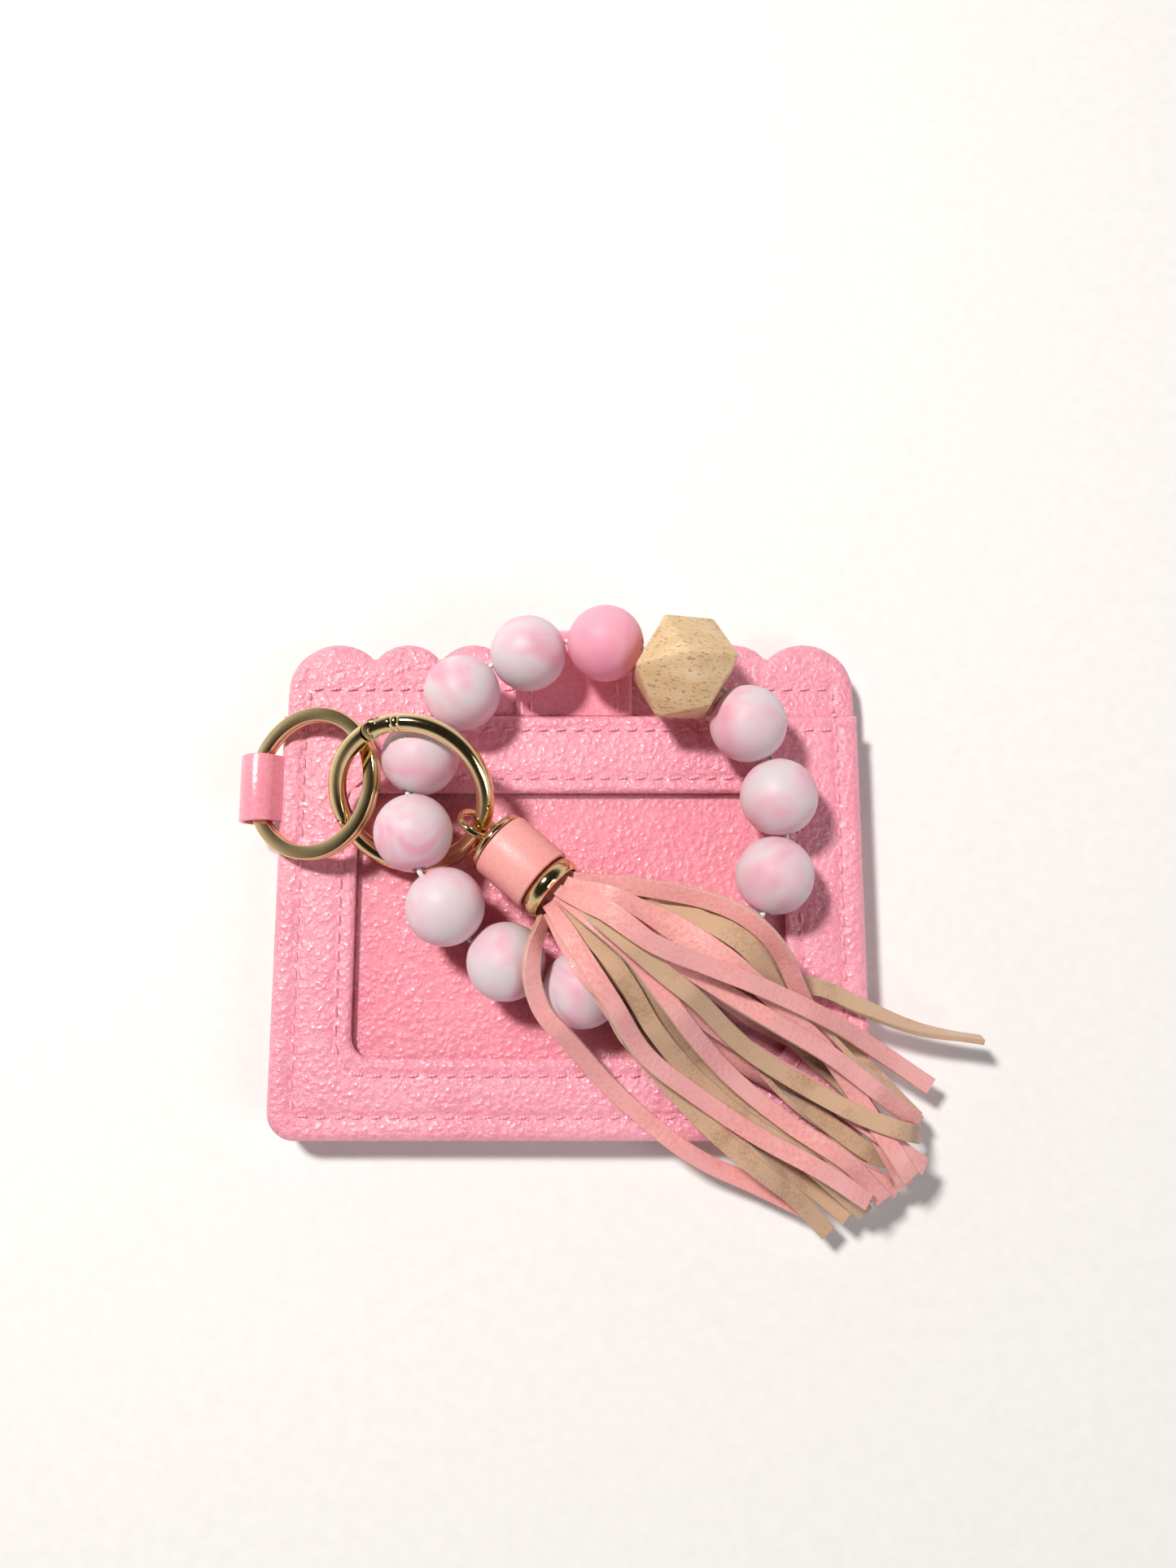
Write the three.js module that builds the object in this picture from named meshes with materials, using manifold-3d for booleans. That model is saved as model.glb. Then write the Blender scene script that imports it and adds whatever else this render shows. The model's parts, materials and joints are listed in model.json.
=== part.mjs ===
// Wristlet keychain, lying on its back: a scalloped card wallet with an ID window, a split ring in
// the wallet's side tab, a spring-gate ring, a beaded bracelet on elastic cord, and a leather tassel.
// Millimetres, +Z up. The origin is the middle of the wallet's back face.
import * as THREE from "three";
import { mergeVertices } from "three/addons/utils/BufferGeometryUtils.js";
import Module from "manifold-3d";

const wasm = await Module();
wasm.setup();
const degrees = Math.PI / 180;

// ---- Driving dimensions ----
const gap = 0.3; // clearance between pieces that lie against each other
const panelLeather = 1.4; // thickness of the front and back panels
const pocketLeather = 1.2; // thickness of the two pocket panels
const liningCloth = 0.3;
const filmThickness = 0.3;
const seamMargin = 6; // the linings stop this far inside the wallet's edge
const wallet = { width: 115, height: 98, cornerRadius: 5.5 };
const scallop = { count: 8, depth: 3.5, cornerWidth: 17.5 };
const backSlot = 1.5; // depth of the card slot behind the back pocket
const frontSlot = 1.6; // depth of the card slot behind the window pocket
const backPocketDrop = 36; // from the scallops' tops down to the back pocket's mouth
const frontPocketDrop = 15.6; // from the scallops' tops down to the window pocket's mouth
const windowCut = { width: 84, height: 51.6, radius: 4.5, above: 15.1 }; // above the bottom edge
const filmMargin = 5.5; // film sewn in around the window
const strap = { width: 23.5, leather: 1.2, drop: 32, rise: 3.5, offset: 0.7 };
const snap = { capRadius: 5.5, barrelRadius: 2.4, cavityRadius: 1.7, studRadius: 1.3, flangeRadius: 4 };
const tab = { width: 13.3, leather: 0.8, boreRadius: 3, tongue: 5, fromTop: 30.3, lift: 1.2 };
const splitRing = { outerRadius: 15, width: 2.8, height: 2.4, chamfer: 0.4, tilt: 24 * degrees };
const gateRing = { outerRadius: 16.2, wireRadius: 1.8, lap: 7, drop: 3, play: 0.5, roll: 6 * degrees };
const gate = { hinge: 119 * degrees, nose: 206 * degrees, slot: 1.4, tongue: 0.8, pinRadius: 0.5 };
const bead = { diameter: 14.8, boreRadius: 1.3, restGap: 0.3 };
const woodBead = { length: 16, boreRadius: 1.3 };
const cord = { radius: 0.5, knotRadius: 1.0 };
const loop = { ovality: 1.62, majorAxis: 155 * degrees, firstBend: 150 * degrees, shift: 1.1 };
const tassel = { heading: -41 * degrees, rise: 8 * degrees, bailAt: -22 * degrees };
const bail = { innerRadius: 2.9, wireRadius: 0.7 };
const cap = { radius: 6.3, height: 1.7 };
const band = { radius: 6.7, leather: 1, length: 11 };
const ferrule = { radius: 6.3, innerRadius: 5.3, width: 3 };
const fringe = { length: 88, rootRadius: 4.9, spread: 17, strapWidth: 3.4, strapThickness: 1.2 };

// ---- Outlines and solids ----
function arc(cx, cy, radius, from, to, steps) {
  return Array.from({ length: steps + 1 }, (_, i) => {
    const angle = from + ((to - from) * i) / steps;
    return new THREE.Vector2(cx + radius * Math.cos(angle), cy + radius * Math.sin(angle));
  });
}

function roundedBox(xMin, yMin, xMax, yMax, radius, steps = 5) {
  const quarter = Math.PI / 2;
  return [
    ...arc(xMax - radius, yMin + radius, radius, -quarter, 0, steps),
    ...arc(xMax - radius, yMax - radius, radius, 0, quarter, steps),
    ...arc(xMin + radius, yMax - radius, radius, quarter, 2 * quarter, steps),
    ...arc(xMin + radius, yMin + radius, radius, 2 * quarter, 3 * quarter, steps),
  ];
}

// A flat piece with its lowest face at z; bevel rounds its rims off.
function slab(outline, z, thickness, bevel = 0, hole = null) {
  const shape = new THREE.Shape(outline);
  if (hole) shape.holes.push(new THREE.Path(hole));
  const geometry = new THREE.ExtrudeGeometry(shape, {
    depth: thickness - 2 * bevel,
    bevelEnabled: bevel > 0,
    bevelThickness: bevel,
    bevelSize: bevel,
    bevelOffset: -bevel,
    bevelSegments: 1,
  });
  return geometry.translate(0, 0, z + bevel);
}

// A turned piece about +Z from [radius, height] pairs that close on themselves or on the axis.
function turned(profile, segments) {
  const points = profile.map(([radius, height]) => new THREE.Vector2(radius, height));
  return new THREE.LatheGeometry(points, segments).rotateX(Math.PI / 2);
}

function drum(radius, z0, z1, segments = 24) {
  return turned([[0, z0], [radius, z0], [radius, z1], [0, z1]], segments);
}

function solid(geometry) {
  const bare = geometry.index ? geometry.toNonIndexed() : geometry.clone();
  bare.deleteAttribute("normal");
  bare.deleteAttribute("uv");
  const merged = mergeVertices(bare, 1e-4);
  return new wasm.Manifold(
    new wasm.Mesh({
      numProp: 3,
      vertProperties: new Float32Array(merged.attributes.position.array),
      triVerts: new Uint32Array(merged.index.array),
    }),
  );
}

function geometryOf(manifold) {
  const mesh = manifold.getMesh();
  const geometry = new THREE.BufferGeometry();
  geometry.setAttribute("position", new THREE.BufferAttribute(mesh.vertProperties, 3));
  geometry.setIndex(new THREE.BufferAttribute(mesh.triVerts, 1));
  const flat = geometry.toNonIndexed();
  flat.computeVertexNormals();
  return flat;
}

function cut(base, ...tools) {
  return geometryOf(tools.reduce((left, tool) => left.subtract(solid(tool)), solid(base)));
}

function joined(...pieces) {
  return geometryOf(pieces.map(solid).reduce((all, piece) => all.add(piece)));
}

// ---- Materials ----
function finish(colour, roughness, metalness = 0, opacity = 1) {
  return new THREE.MeshStandardMaterial({
    color: colour,
    roughness,
    metalness,
    opacity,
    transparent: opacity < 1,
  });
}
const grainedLeather = finish(0xf49aaf, 0.45);
const smoothLeather = finish(0xf79fb4, 0.4);
const clothPink = finish(0xe88aa2, 0.9);
const clearFilm = finish(0xf4e4e8, 0.1, 0, 0.35);
const gold = finish(0xc9a45c, 0.18, 1);
const siliconePink = finish(0xf1c3d4, 0.5);
const beech = finish(0xe3c08c, 0.6);
const elastic = finish(0xf2e6e8, 0.5);
const fringeLeather = finish(0xee9fa3, 0.6);

const root = new THREE.Group();
function add(name, geometry, material, parent = root) {
  const mesh = new THREE.Mesh(geometry, material);
  mesh.name = name;
  parent.add(mesh);
  return mesh;
}

// ---- Wallet: heights of the stacked layers, back to front ----
const backPanelZ = pocketLeather + backSlot;
const backLiningZ = backPanelZ + panelLeather + gap;
const frontLiningZ = backLiningZ + liningCloth + gap;
const frontPanelZ = frontLiningZ + liningCloth + gap;
const frontPanelTop = frontPanelZ + panelLeather;
const frontPocketZ = frontPanelTop + frontSlot;
const frontZ = frontPocketZ + pocketLeather; // the wallet's front face
const halfWidth = wallet.width / 2;
const topY = wallet.height / 2;
const bottomY = -topY;

// The panels' outline: round lower corners and a row of lobes along the top.
function scallopedOutline() {
  const { depth, cornerWidth, count } = scallop;
  const cornerLobe = cornerWidth + depth - Math.sqrt(2 * cornerWidth * depth);
  const pitch = (wallet.width - 2 * cornerWidth) / (count - 2);
  const lobe = (pitch * pitch) / (8 * depth) + depth / 2;
  const valley = Math.atan2(lobe - depth, pitch / 2);
  const cornerValley = Math.atan2(cornerLobe - depth, cornerWidth - cornerLobe);
  const r = wallet.cornerRadius;
  const points = [
    ...arc(-halfWidth + r, bottomY + r, r, Math.PI, 1.5 * Math.PI, 5),
    ...arc(halfWidth - r, bottomY + r, r, -0.5 * Math.PI, 0, 5),
    ...arc(halfWidth - cornerLobe, topY - cornerLobe, cornerLobe, 0, Math.PI - cornerValley, 8),
  ];
  for (let i = count - 3; i >= 0; i--) {
    const x = -halfWidth + cornerWidth + (i + 0.5) * pitch;
    points.push(...arc(x, topY - lobe, lobe, valley, Math.PI - valley, 6).slice(1));
  }
  points.push(
    ...arc(-halfWidth + cornerLobe, topY - cornerLobe, cornerLobe, cornerValley, Math.PI, 8).slice(1),
  );
  return points;
}

const snapY = topY - strap.drop + strap.width / 2;
const snapX = strap.offset;
const studSeat = 3 * gap; // depth of the recess that the stud's flange sits in
const recess = drum(snap.flangeRadius + gap, backPanelZ - 1, backPanelZ + studSeat);
recess.translate(snapX, snapY, 0);
add("front_panel", slab(scallopedOutline(), frontPanelZ, panelLeather), grainedLeather);
add("back_panel", cut(slab(scallopedOutline(), backPanelZ, panelLeather), recess), grainedLeather);

const liningOutline = roundedBox(
  -halfWidth + seamMargin,
  bottomY + seamMargin,
  halfWidth - seamMargin,
  topY - seamMargin,
  3,
);
add("back_lining", slab(liningOutline, backLiningZ, liningCloth), clothPink);
add("front_lining", slab(liningOutline, frontLiningZ, liningCloth), clothPink);

const frontMouthY = topY - frontPocketDrop;
const windowY = bottomY + windowCut.above + windowCut.height / 2;
function aroundWindow(margin) {
  return roundedBox(
    -windowCut.width / 2 - margin,
    windowY - windowCut.height / 2 - margin,
    windowCut.width / 2 + margin,
    windowY + windowCut.height / 2 + margin,
    windowCut.radius + margin / 2,
  );
}
function pocketOutline(mouthY) {
  const r = wallet.cornerRadius;
  return [
    ...arc(-halfWidth + r, bottomY + r, r, Math.PI, 1.5 * Math.PI, 5),
    ...arc(halfWidth - r, bottomY + r, r, -0.5 * Math.PI, 0, 5),
    new THREE.Vector2(halfWidth, mouthY),
    new THREE.Vector2(-halfWidth, mouthY),
  ];
}
const rolledEdge = 0.4;
add(
  "window_pocket",
  slab(pocketOutline(frontMouthY), frontPocketZ, pocketLeather, rolledEdge, aroundWindow(0)),
  grainedLeather,
);
add(
  "window_film",
  slab(aroundWindow(filmMargin), frontPocketZ - gap - filmThickness, filmThickness),
  clearFilm,
);
add("back_pocket", slab(pocketOutline(topY - backPocketDrop), 0, pocketLeather), grainedLeather);

// ---- Closure strap: sewn to the front, folded over the top, snapped on the back ----
const strapFrontZ = frontPanelTop + gap;
const strapBackZ = backPanelZ - gap - strap.leather;
const foldRadius = (strapFrontZ + strap.leather - strapBackZ) / 2;
const foldZ = strapBackZ + foldRadius;
const foldY = topY + strap.rise - foldRadius;
const strapHinge = new THREE.Vector3(0, foldY - 0.5, strapFrontZ + strap.leather / 2);
const strapHalf = strap.leather / 2;
add(
  "strap_anchor",
  slab(
    [
      new THREE.Vector2(strap.offset - strap.width / 2, frontMouthY + gap),
      new THREE.Vector2(strap.offset + strap.width / 2, frontMouthY + gap),
      new THREE.Vector2(strap.offset + strap.width / 2, strapHinge.y - strapHalf - gap),
      new THREE.Vector2(strap.offset - strap.width / 2, strapHinge.y - strapHalf - gap),
    ],
    strapFrontZ,
    strap.leather,
  ),
  smoothLeather,
);

// The strap's side view, y across and z up: a round hinge end, the fold, and the long back leg.
const strapEndY = topY - strap.drop;
const strapSide = [
  ...arc(strapHinge.y, strapHinge.z, strapHalf, 1.5 * Math.PI, 0.5 * Math.PI, 6),
  ...arc(foldY, foldZ, foldRadius, 0.5 * Math.PI, -0.5 * Math.PI, 12),
  new THREE.Vector2(strapEndY, strapBackZ),
  new THREE.Vector2(strapEndY, strapBackZ + strap.leather),
  ...arc(foldY, foldZ, foldRadius - strap.leather, -0.5 * Math.PI, 0.5 * Math.PI, 12),
];
const strapBlank = new THREE.ExtrudeGeometry(new THREE.Shape(strapSide), {
  depth: strap.width,
  bevelEnabled: false,
});
strapBlank.applyMatrix4(
  new THREE.Matrix4().set(0, 0, 1, snapX - strap.width / 2, 1, 0, 0, 0, 0, 1, 0, 0, 0, 0, 0, 1),
);
const strapPlan = slab(
  [
    ...arc(snapX, strapEndY + strap.width / 2, strap.width / 2, Math.PI, 2 * Math.PI, 12),
    new THREE.Vector2(snapX + strap.width / 2, topY + strap.rise + 1),
    new THREE.Vector2(snapX - strap.width / 2, topY + strap.rise + 1),
  ],
  strapBackZ - 1,
  strapFrontZ + 2 * strap.leather - strapBackZ + 2,
);
const strapBore = drum(snap.barrelRadius + gap, strapBackZ - 1, strapBackZ + strap.leather + 0.2, 20);
add(
  "strap_flap",
  geometryOf(
    solid(strapBlank).intersect(solid(strapPlan)).subtract(solid(strapBore.translate(snapX, snapY, 0))),
  ),
  smoothLeather,
);

// ---- Snap fastener: a cap and socket through the strap, and a stud in the back panel ----
const capBottom = 0.2; // the cap stands this far off the surface that the wallet lies on
const capTop = strapBackZ - gap;
const socketEnd = strapBackZ + strap.leather;
const cavityFloor = strapBackZ + 0.1;
const studTip = cavityFloor + 0.45;
const { capRadius, barrelRadius, cavityRadius, studRadius, flangeRadius } = snap;
add(
  "snap_cap",
  turned(
    [
      [0, capBottom],
      [capRadius - 1.2, capBottom],
      [capRadius, capBottom + 0.3],
      [capRadius, capTop],
      [barrelRadius, capTop],
      [barrelRadius, socketEnd],
      [cavityRadius, socketEnd],
      [cavityRadius, cavityFloor],
      [0, cavityFloor],
    ],
    20,
  ).translate(snapX, snapY, 0),
  gold,
);
add(
  "snap_stud",
  turned(
    [
      [0, studTip],
      [studRadius, studTip],
      [studRadius, backPanelZ + gap],
      [flangeRadius, backPanelZ + gap],
      [flangeRadius, backPanelZ + 2 * gap],
      [0, backPanelZ + 2 * gap],
    ],
    20,
  ).translate(snapX, snapY, 0),
  gold,
);

// ---- Side tab: a leather loop on a tongue sewn in behind the window pocket ----
const tabRadius = tab.boreRadius + tab.leather;
const tongueThickness = frontSlot - 2 * gap;
const tabAxis = new THREE.Vector3(
  -halfWidth - gap - tabRadius,
  topY - tab.fromTop,
  frontPanelTop + gap + tongueThickness + tab.lift,
);
const tongueStart = tabAxis.x + Math.sqrt(tab.boreRadius ** 2 - tab.lift ** 2) + 0.15;
const tongueEnd = -halfWidth + tab.tongue;
const tongue = new THREE.BoxGeometry(tongueEnd - tongueStart, tab.width, tongueThickness);
tongue.translate((tongueStart + tongueEnd) / 2, tabAxis.y, frontPanelTop + gap + tongueThickness / 2);
const tabTube = turned(
  [
    [tabRadius, -tab.width / 2],
    [tabRadius, tab.width / 2],
    [tab.boreRadius, tab.width / 2],
    [tab.boreRadius, -tab.width / 2],
    [tabRadius, -tab.width / 2],
  ],
  24,
);
tabTube.rotateX(Math.PI / 2).translate(tabAxis.x, tabAxis.y, tabAxis.z);
add("side_tab", joined(tabTube, tongue), smoothLeather);

// ---- Split ring: a flat double coil through the tab, leaning on the wallet's edge ----
const splitMean = splitRing.outerRadius - splitRing.width / 2;
const splitSag = splitMean - Math.sqrt(splitMean ** 2 - (tab.width / 2) ** 2);
const splitLean = new THREE.Vector3(Math.cos(splitRing.tilt), 0, Math.sin(splitRing.tilt));
const splitGroup = new THREE.Group();
splitGroup.position.copy(tabAxis).addScaledVector(splitLean, splitMean - splitSag / 2);
splitGroup.rotation.y = -splitRing.tilt;
root.add(splitGroup);
const inner = splitRing.outerRadius - splitRing.width;
const outer = splitRing.outerRadius;
const half = splitRing.height / 2;
const chamfer = splitRing.chamfer;
add(
  "split_ring",
  turned(
    [
      [outer, -half + chamfer],
      [outer, -0.1],
      [outer - 0.3, 0],
      [outer, 0.1],
      [outer, half - chamfer],
      [outer - chamfer, half],
      [inner + chamfer, half],
      [inner, half - chamfer],
      [inner, -half + chamfer],
      [inner + chamfer, -half],
      [outer - chamfer, -half],
      [outer, -half + chamfer],
    ],
    32,
  ),
  gold,
  splitGroup,
);
const splitReach = splitGroup.position.clone().addScaledVector(splitLean, splitMean);

// ---- Bracelet: the cord's bends lie on an oval, and a bead fills each straight between them ----
const silicone = 13;
const beadTotal = silicone + 1;
const woodIndex = 3; // the wooden bead's place, counted from the bead above the gate ring
const under = beadTotal - 1; // this bead passes under the gate ring, the one before it over
const over = beadTotal - 2;
const halfTurn = Math.PI / beadTotal;
const beadRadius = bead.diameter / 2;
const beadChord = (bead.diameter + gap) / Math.cos(halfTurn);
const woodChord = woodBead.length + bead.diameter + 2 * gap - beadChord * Math.cos(2 * halfTurn);
const chordOf = (i) => (i === woodIndex ? woodChord : beadChord);

function onOval(mean, angle) {
  const radius = mean + loop.ovality * Math.cos(2 * (angle - loop.majorAxis));
  return new THREE.Vector2(radius * Math.cos(angle), radius * Math.sin(angle));
}

// The angle of the next bend, going clockwise, at a given straight distance.
function stepRound(mean, angle, chord) {
  const from = onOval(mean, angle);
  let near = 0;
  let far = Math.PI / 2;
  for (let i = 0; i < 50; i++) {
    const middle = (near + far) / 2;
    if (from.distanceTo(onOval(mean, angle - middle)) < chord) near = middle;
    else far = middle;
  }
  return angle - near;
}

function bendAngles(mean) {
  const angles = [loop.firstBend];
  for (let i = 0; i < beadTotal; i++) angles.push(stepRound(mean, angles[i], chordOf(i)));
  return angles;
}

function loopRadius() {
  let small = beadChord * 1.5;
  let large = beadChord * 6;
  for (let i = 0; i < 60; i++) {
    const mean = (small + large) / 2;
    const turnedBy = loop.firstBend - bendAngles(mean)[beadTotal];
    if (turnedBy > 2 * Math.PI) small = mean;
    else large = mean;
  }
  return (small + large) / 2;
}

const meanRadius = loopRadius();
const bends = bendAngles(meanRadius)
  .slice(0, beadTotal)
  .map((angle) => onOval(meanRadius, angle));
const planOf = (i) => bends[i].clone().add(bends[(i + 1) % beadTotal]).multiplyScalar(0.5);

// ---- Gate ring: lapped over the split ring, threaded round the cord between two beads ----
const ringMean = gateRing.outerRadius - gateRing.wireRadius;
const ringPlan = new THREE.Vector2(
  splitReach.x - gateRing.lap + ringMean,
  tabAxis.y - gateRing.drop,
);
const loopShift = ringPlan.clone().sub(planOf(under).add(planOf(over)).multiplyScalar(0.5));
loopShift.x += loop.shift;
bends.forEach((bend) => bend.add(loopShift));
const alongRing = planOf(under).sub(planOf(over)).normalize();
const restHeight = frontZ + bead.restGap + beadRadius;
const woodReach = woodBead.length / Math.SQRT2; // from the wooden bead's middle to its corners
const woodHeight = frontZ + bead.restGap + woodReach;

const passedOn = 0.2; // share of the wooden bead's rise that the next bend takes up
const sharedRise = 0.5; // the two bends beside a bead that rides up share its rise unevenly

// The cord's height at each bend: it lies a bead's radius up, rises to the wooden bead, and rises
// where a bead rides on the gate ring's lower side.
function bendHeights(rideUp) {
  const heights = Array(beadTotal).fill(restHeight);
  const toWood = woodHeight - restHeight;
  heights[woodIndex] += toWood;
  heights[woodIndex + 1] += toWood;
  heights[woodIndex - 1] += toWood * passedOn;
  heights[woodIndex + 2] += toWood * passedOn;
  heights[over] += rideUp * (2 - sharedRise);
  heights[under] += rideUp * sharedRise;
  return heights;
}
function cordBends(rideUp) {
  const heights = bendHeights(rideUp);
  return bends.map((bend, i) => new THREE.Vector3(bend.x, bend.y, heights[i]));
}
function beadMiddles(cordAt) {
  return cordAt.map((bend, i) => bend.clone().add(cordAt[(i + 1) % beadTotal]).multiplyScalar(0.5));
}

// The ring's frame at a tilt, with its lower side just off the wallet.
function ringFrame(tilt) {
  const { cos, sin } = Math;
  const across = new THREE.Vector3(alongRing.y, -alongRing.x, 0);
  const up = new THREE.Vector3(alongRing.x * cos(tilt), alongRing.y * cos(tilt), sin(tilt));
  across.applyAxisAngle(up, -gateRing.roll);
  const steepest = Math.hypot(across.z, up.z);
  const low = frontZ + gap + gateRing.wireRadius;
  const centre = new THREE.Vector3(ringPlan.x, ringPlan.y, low + ringMean * steepest);
  return { across, up, centre };
}
function wirePoint(frame, angle) {
  return frame.centre
    .clone()
    .addScaledVector(frame.across, ringMean * Math.cos(angle))
    .addScaledVector(frame.up, ringMean * Math.sin(angle));
}
function wireDistance(frame, point) {
  let nearest = Infinity;
  for (let i = 0; i < 180; i++) {
    nearest = Math.min(nearest, wirePoint(frame, (i * Math.PI) / 90).distanceTo(point));
  }
  return nearest;
}

// The ring tilts until its upper side clears the beads under it; the beads over its lower side
// ride up until they clear it too.
const wireClear = beadRadius + gateRing.wireRadius + gap;
function ringOver(middles) {
  let tilt = 5 * degrees;
  const below = [middles[under], middles[0]];
  while (below.some((p) => wireDistance(ringFrame(tilt), p) < wireClear + gateRing.play)) {
    tilt += 0.1 * degrees;
  }
  return ringFrame(tilt);
}
let rideUp = 0;
let cordAt = cordBends(rideUp);
let beadCentres = beadMiddles(cordAt);
let ring = ringOver(beadCentres);
while ([over, over - 1].some((i) => wireDistance(ring, beadCentres[i]) < wireClear)) {
  rideUp += 0.05;
  cordAt = cordBends(rideUp);
  beadCentres = beadMiddles(cordAt);
  ring = ringOver(beadCentres);
}

const ringGroup = new THREE.Group();
const ringNormal = new THREE.Vector3().crossVectors(ring.across, ring.up);
ringGroup.position.copy(ring.centre);
ringGroup.setRotationFromMatrix(new THREE.Matrix4().makeBasis(ring.across, ring.up, ringNormal));
root.add(ringGroup);

function ringPoint(angle) {
  return new THREE.Vector3(ringMean * Math.cos(angle), ringMean * Math.sin(angle), 0);
}
const wire = gateRing.wireRadius;
const hingePoint = ringPoint(gate.hinge);
const nosePoint = ringPoint(gate.nose);
const gateChord = nosePoint.clone().sub(hingePoint);
const gateAngle = Math.atan2(gateChord.y, gateChord.x);
const gateMiddle = hingePoint.clone().add(nosePoint).multiplyScalar(0.5);
const torus = new THREE.TorusGeometry(ringMean, wire, 10, 48);
const chordLength = gateChord.length();
const knuckle = wire + 0.1; // radius of the round hinge end
const through = 10; // reach of a cutting tool that passes right through the wire
const hingeDrum = (radius, halfHeight) =>
  drum(radius, -halfHeight, halfHeight, 20).translate(hingePoint.x, hingePoint.y, 0);

const chordPast = 0.6; // the gate's side of the ring starts this far inside the knuckle
// A block on the gate's side of the ring, from start to end along the chord from hinge to nose.
function gateSide(start, end, halfHeight) {
  const inward = gateMiddle.clone().negate().normalize();
  const block = new THREE.BoxGeometry(end - start, 2 * ringMean, 2 * halfHeight);
  const outward = new THREE.Vector3(-Math.sin(gateAngle), Math.cos(gateAngle), 0);
  const side = outward.dot(inward) < 0 ? 1 : -1;
  block.translate((start + end) / 2, side * (ringMean - knuckle - chordPast), 0);
  block.rotateZ(gateAngle).translate(hingePoint.x, hingePoint.y, 0);
  return block;
}
const bodyCut = gateSide(-1.2, chordLength, through);
const bodyKnuckle = hingeDrum(knuckle, wire * 0.8);
const slotCut = hingeDrum(knuckle + gap + 0.6, gate.slot / 2);
const pinBore = hingeDrum(gate.pinRadius + gap, through);
add(
  "gate_ring",
  geometryOf(
    solid(torus)
      .subtract(solid(bodyCut))
      .add(solid(bodyKnuckle))
      .subtract(solid(slotCut))
      .subtract(solid(pinBore)),
  ),
  gold,
  ringGroup,
);
const gateWire = solid(torus)
  .intersect(solid(gateSide(gap, chordLength - gap, through)))
  .subtract(solid(hingeDrum(knuckle + gap, through)));
const gateTongue = solid(hingeDrum(knuckle - 0.2, gate.tongue / 2)).add(
  solid(torus).intersect(solid(gateSide(0, knuckle + 1.5, gate.tongue / 2))),
);
add("ring_gate", geometryOf(gateWire.add(gateTongue).subtract(solid(pinBore))), gold, ringGroup);
add("gate_pin", hingeDrum(gate.pinRadius, wire), gold, ringGroup);

// ---- Beads and cord ----
const alongCord = (i) => cordAt[(i + 1) % beadTotal].clone().sub(cordAt[i]).normalize();
const boreEnd = Math.asin(bead.boreRadius / beadRadius);
const beadProfile = arc(0, 0, beadRadius, boreEnd - Math.PI / 2, Math.PI / 2 - boreEnd, 10).map((p) => [
  p.x,
  p.y,
]);
beadProfile.push([...beadProfile[0]]);
const zAxis = new THREE.Vector3(0, 0, 1);
const beadJoints = [];
let number = 0;
beadCentres.forEach((centre, i) => {
  const direction = alongCord(i);
  if (i === woodIndex) {
    // A cuboctahedron: a cube of the bead's length with each corner cut off to its edges' middles.
    const s = woodBead.length / 2;
    const side = new THREE.Vector3().crossVectors(zAxis, direction).normalize();
    const cube = solid(new THREE.BoxGeometry(2 * s, 2 * s, 2 * s));
    const octahedron = solid(new THREE.OctahedronGeometry(2 * s));
    const bore = solid(drum(woodBead.boreRadius, -2 * s, 2 * s, 12));
    const mesh = add("wood_bead", geometryOf(cube.intersect(octahedron).subtract(bore)), beech);
    const eighthTurn = new THREE.Matrix4().makeRotationZ(Math.PI / 4);
    const standing = new THREE.Matrix4().makeBasis(side, zAxis, direction).multiply(eighthTurn);
    mesh.setRotationFromMatrix(standing);
    mesh.position.copy(centre);
    beadJoints.push({ name: "wood_bead", centre, direction });
  } else {
    number += 1;
    const name = "bead_" + String(number).padStart(2, "0");
    const mesh = add(name, turned(beadProfile, 16), siliconePink);
    mesh.quaternion.setFromUnitVectors(zAxis, direction);
    mesh.position.copy(centre);
    beadJoints.push({ name, centre, direction });
  }
});

// The elastic cord runs straight through each bead and bends between them; its two ends meet at
// the knot, which is drawn into a bead far from the rings.
const knotIndex = 7;
const straightShare = 0.42; // the cord bends only outside this share of a chord, each way
const cordPoints = [];
for (let k = 0; k <= beadTotal; k++) {
  const i = (knotIndex + k) % beadTotal;
  const reach = chordOf(i) * straightShare;
  const knotEnd = cord.knotRadius + gap;
  const offsets = k === 0 ? [knotEnd, reach] : k === beadTotal ? [-reach, -knotEnd] : [-reach, reach];
  for (const offset of offsets) {
    cordPoints.push(beadCentres[i].clone().addScaledVector(alongCord(i), offset));
  }
}
const cordCurve = new THREE.CatmullRomCurve3(cordPoints, false, "centripetal");
const cordSection = new THREE.Shape(arc(0, 0, cord.radius, 0, 2 * Math.PI, 8).slice(0, 8));
add(
  "elastic_cord",
  new THREE.ExtrudeGeometry(cordSection, { steps: 84, bevelEnabled: false, extrudePath: cordCurve }),
  elastic,
);
const knot = add("cord_knot", new THREE.SphereGeometry(cord.knotRadius, 8, 6), elastic);
knot.position.copy(beadCentres[knotIndex]);

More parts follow.
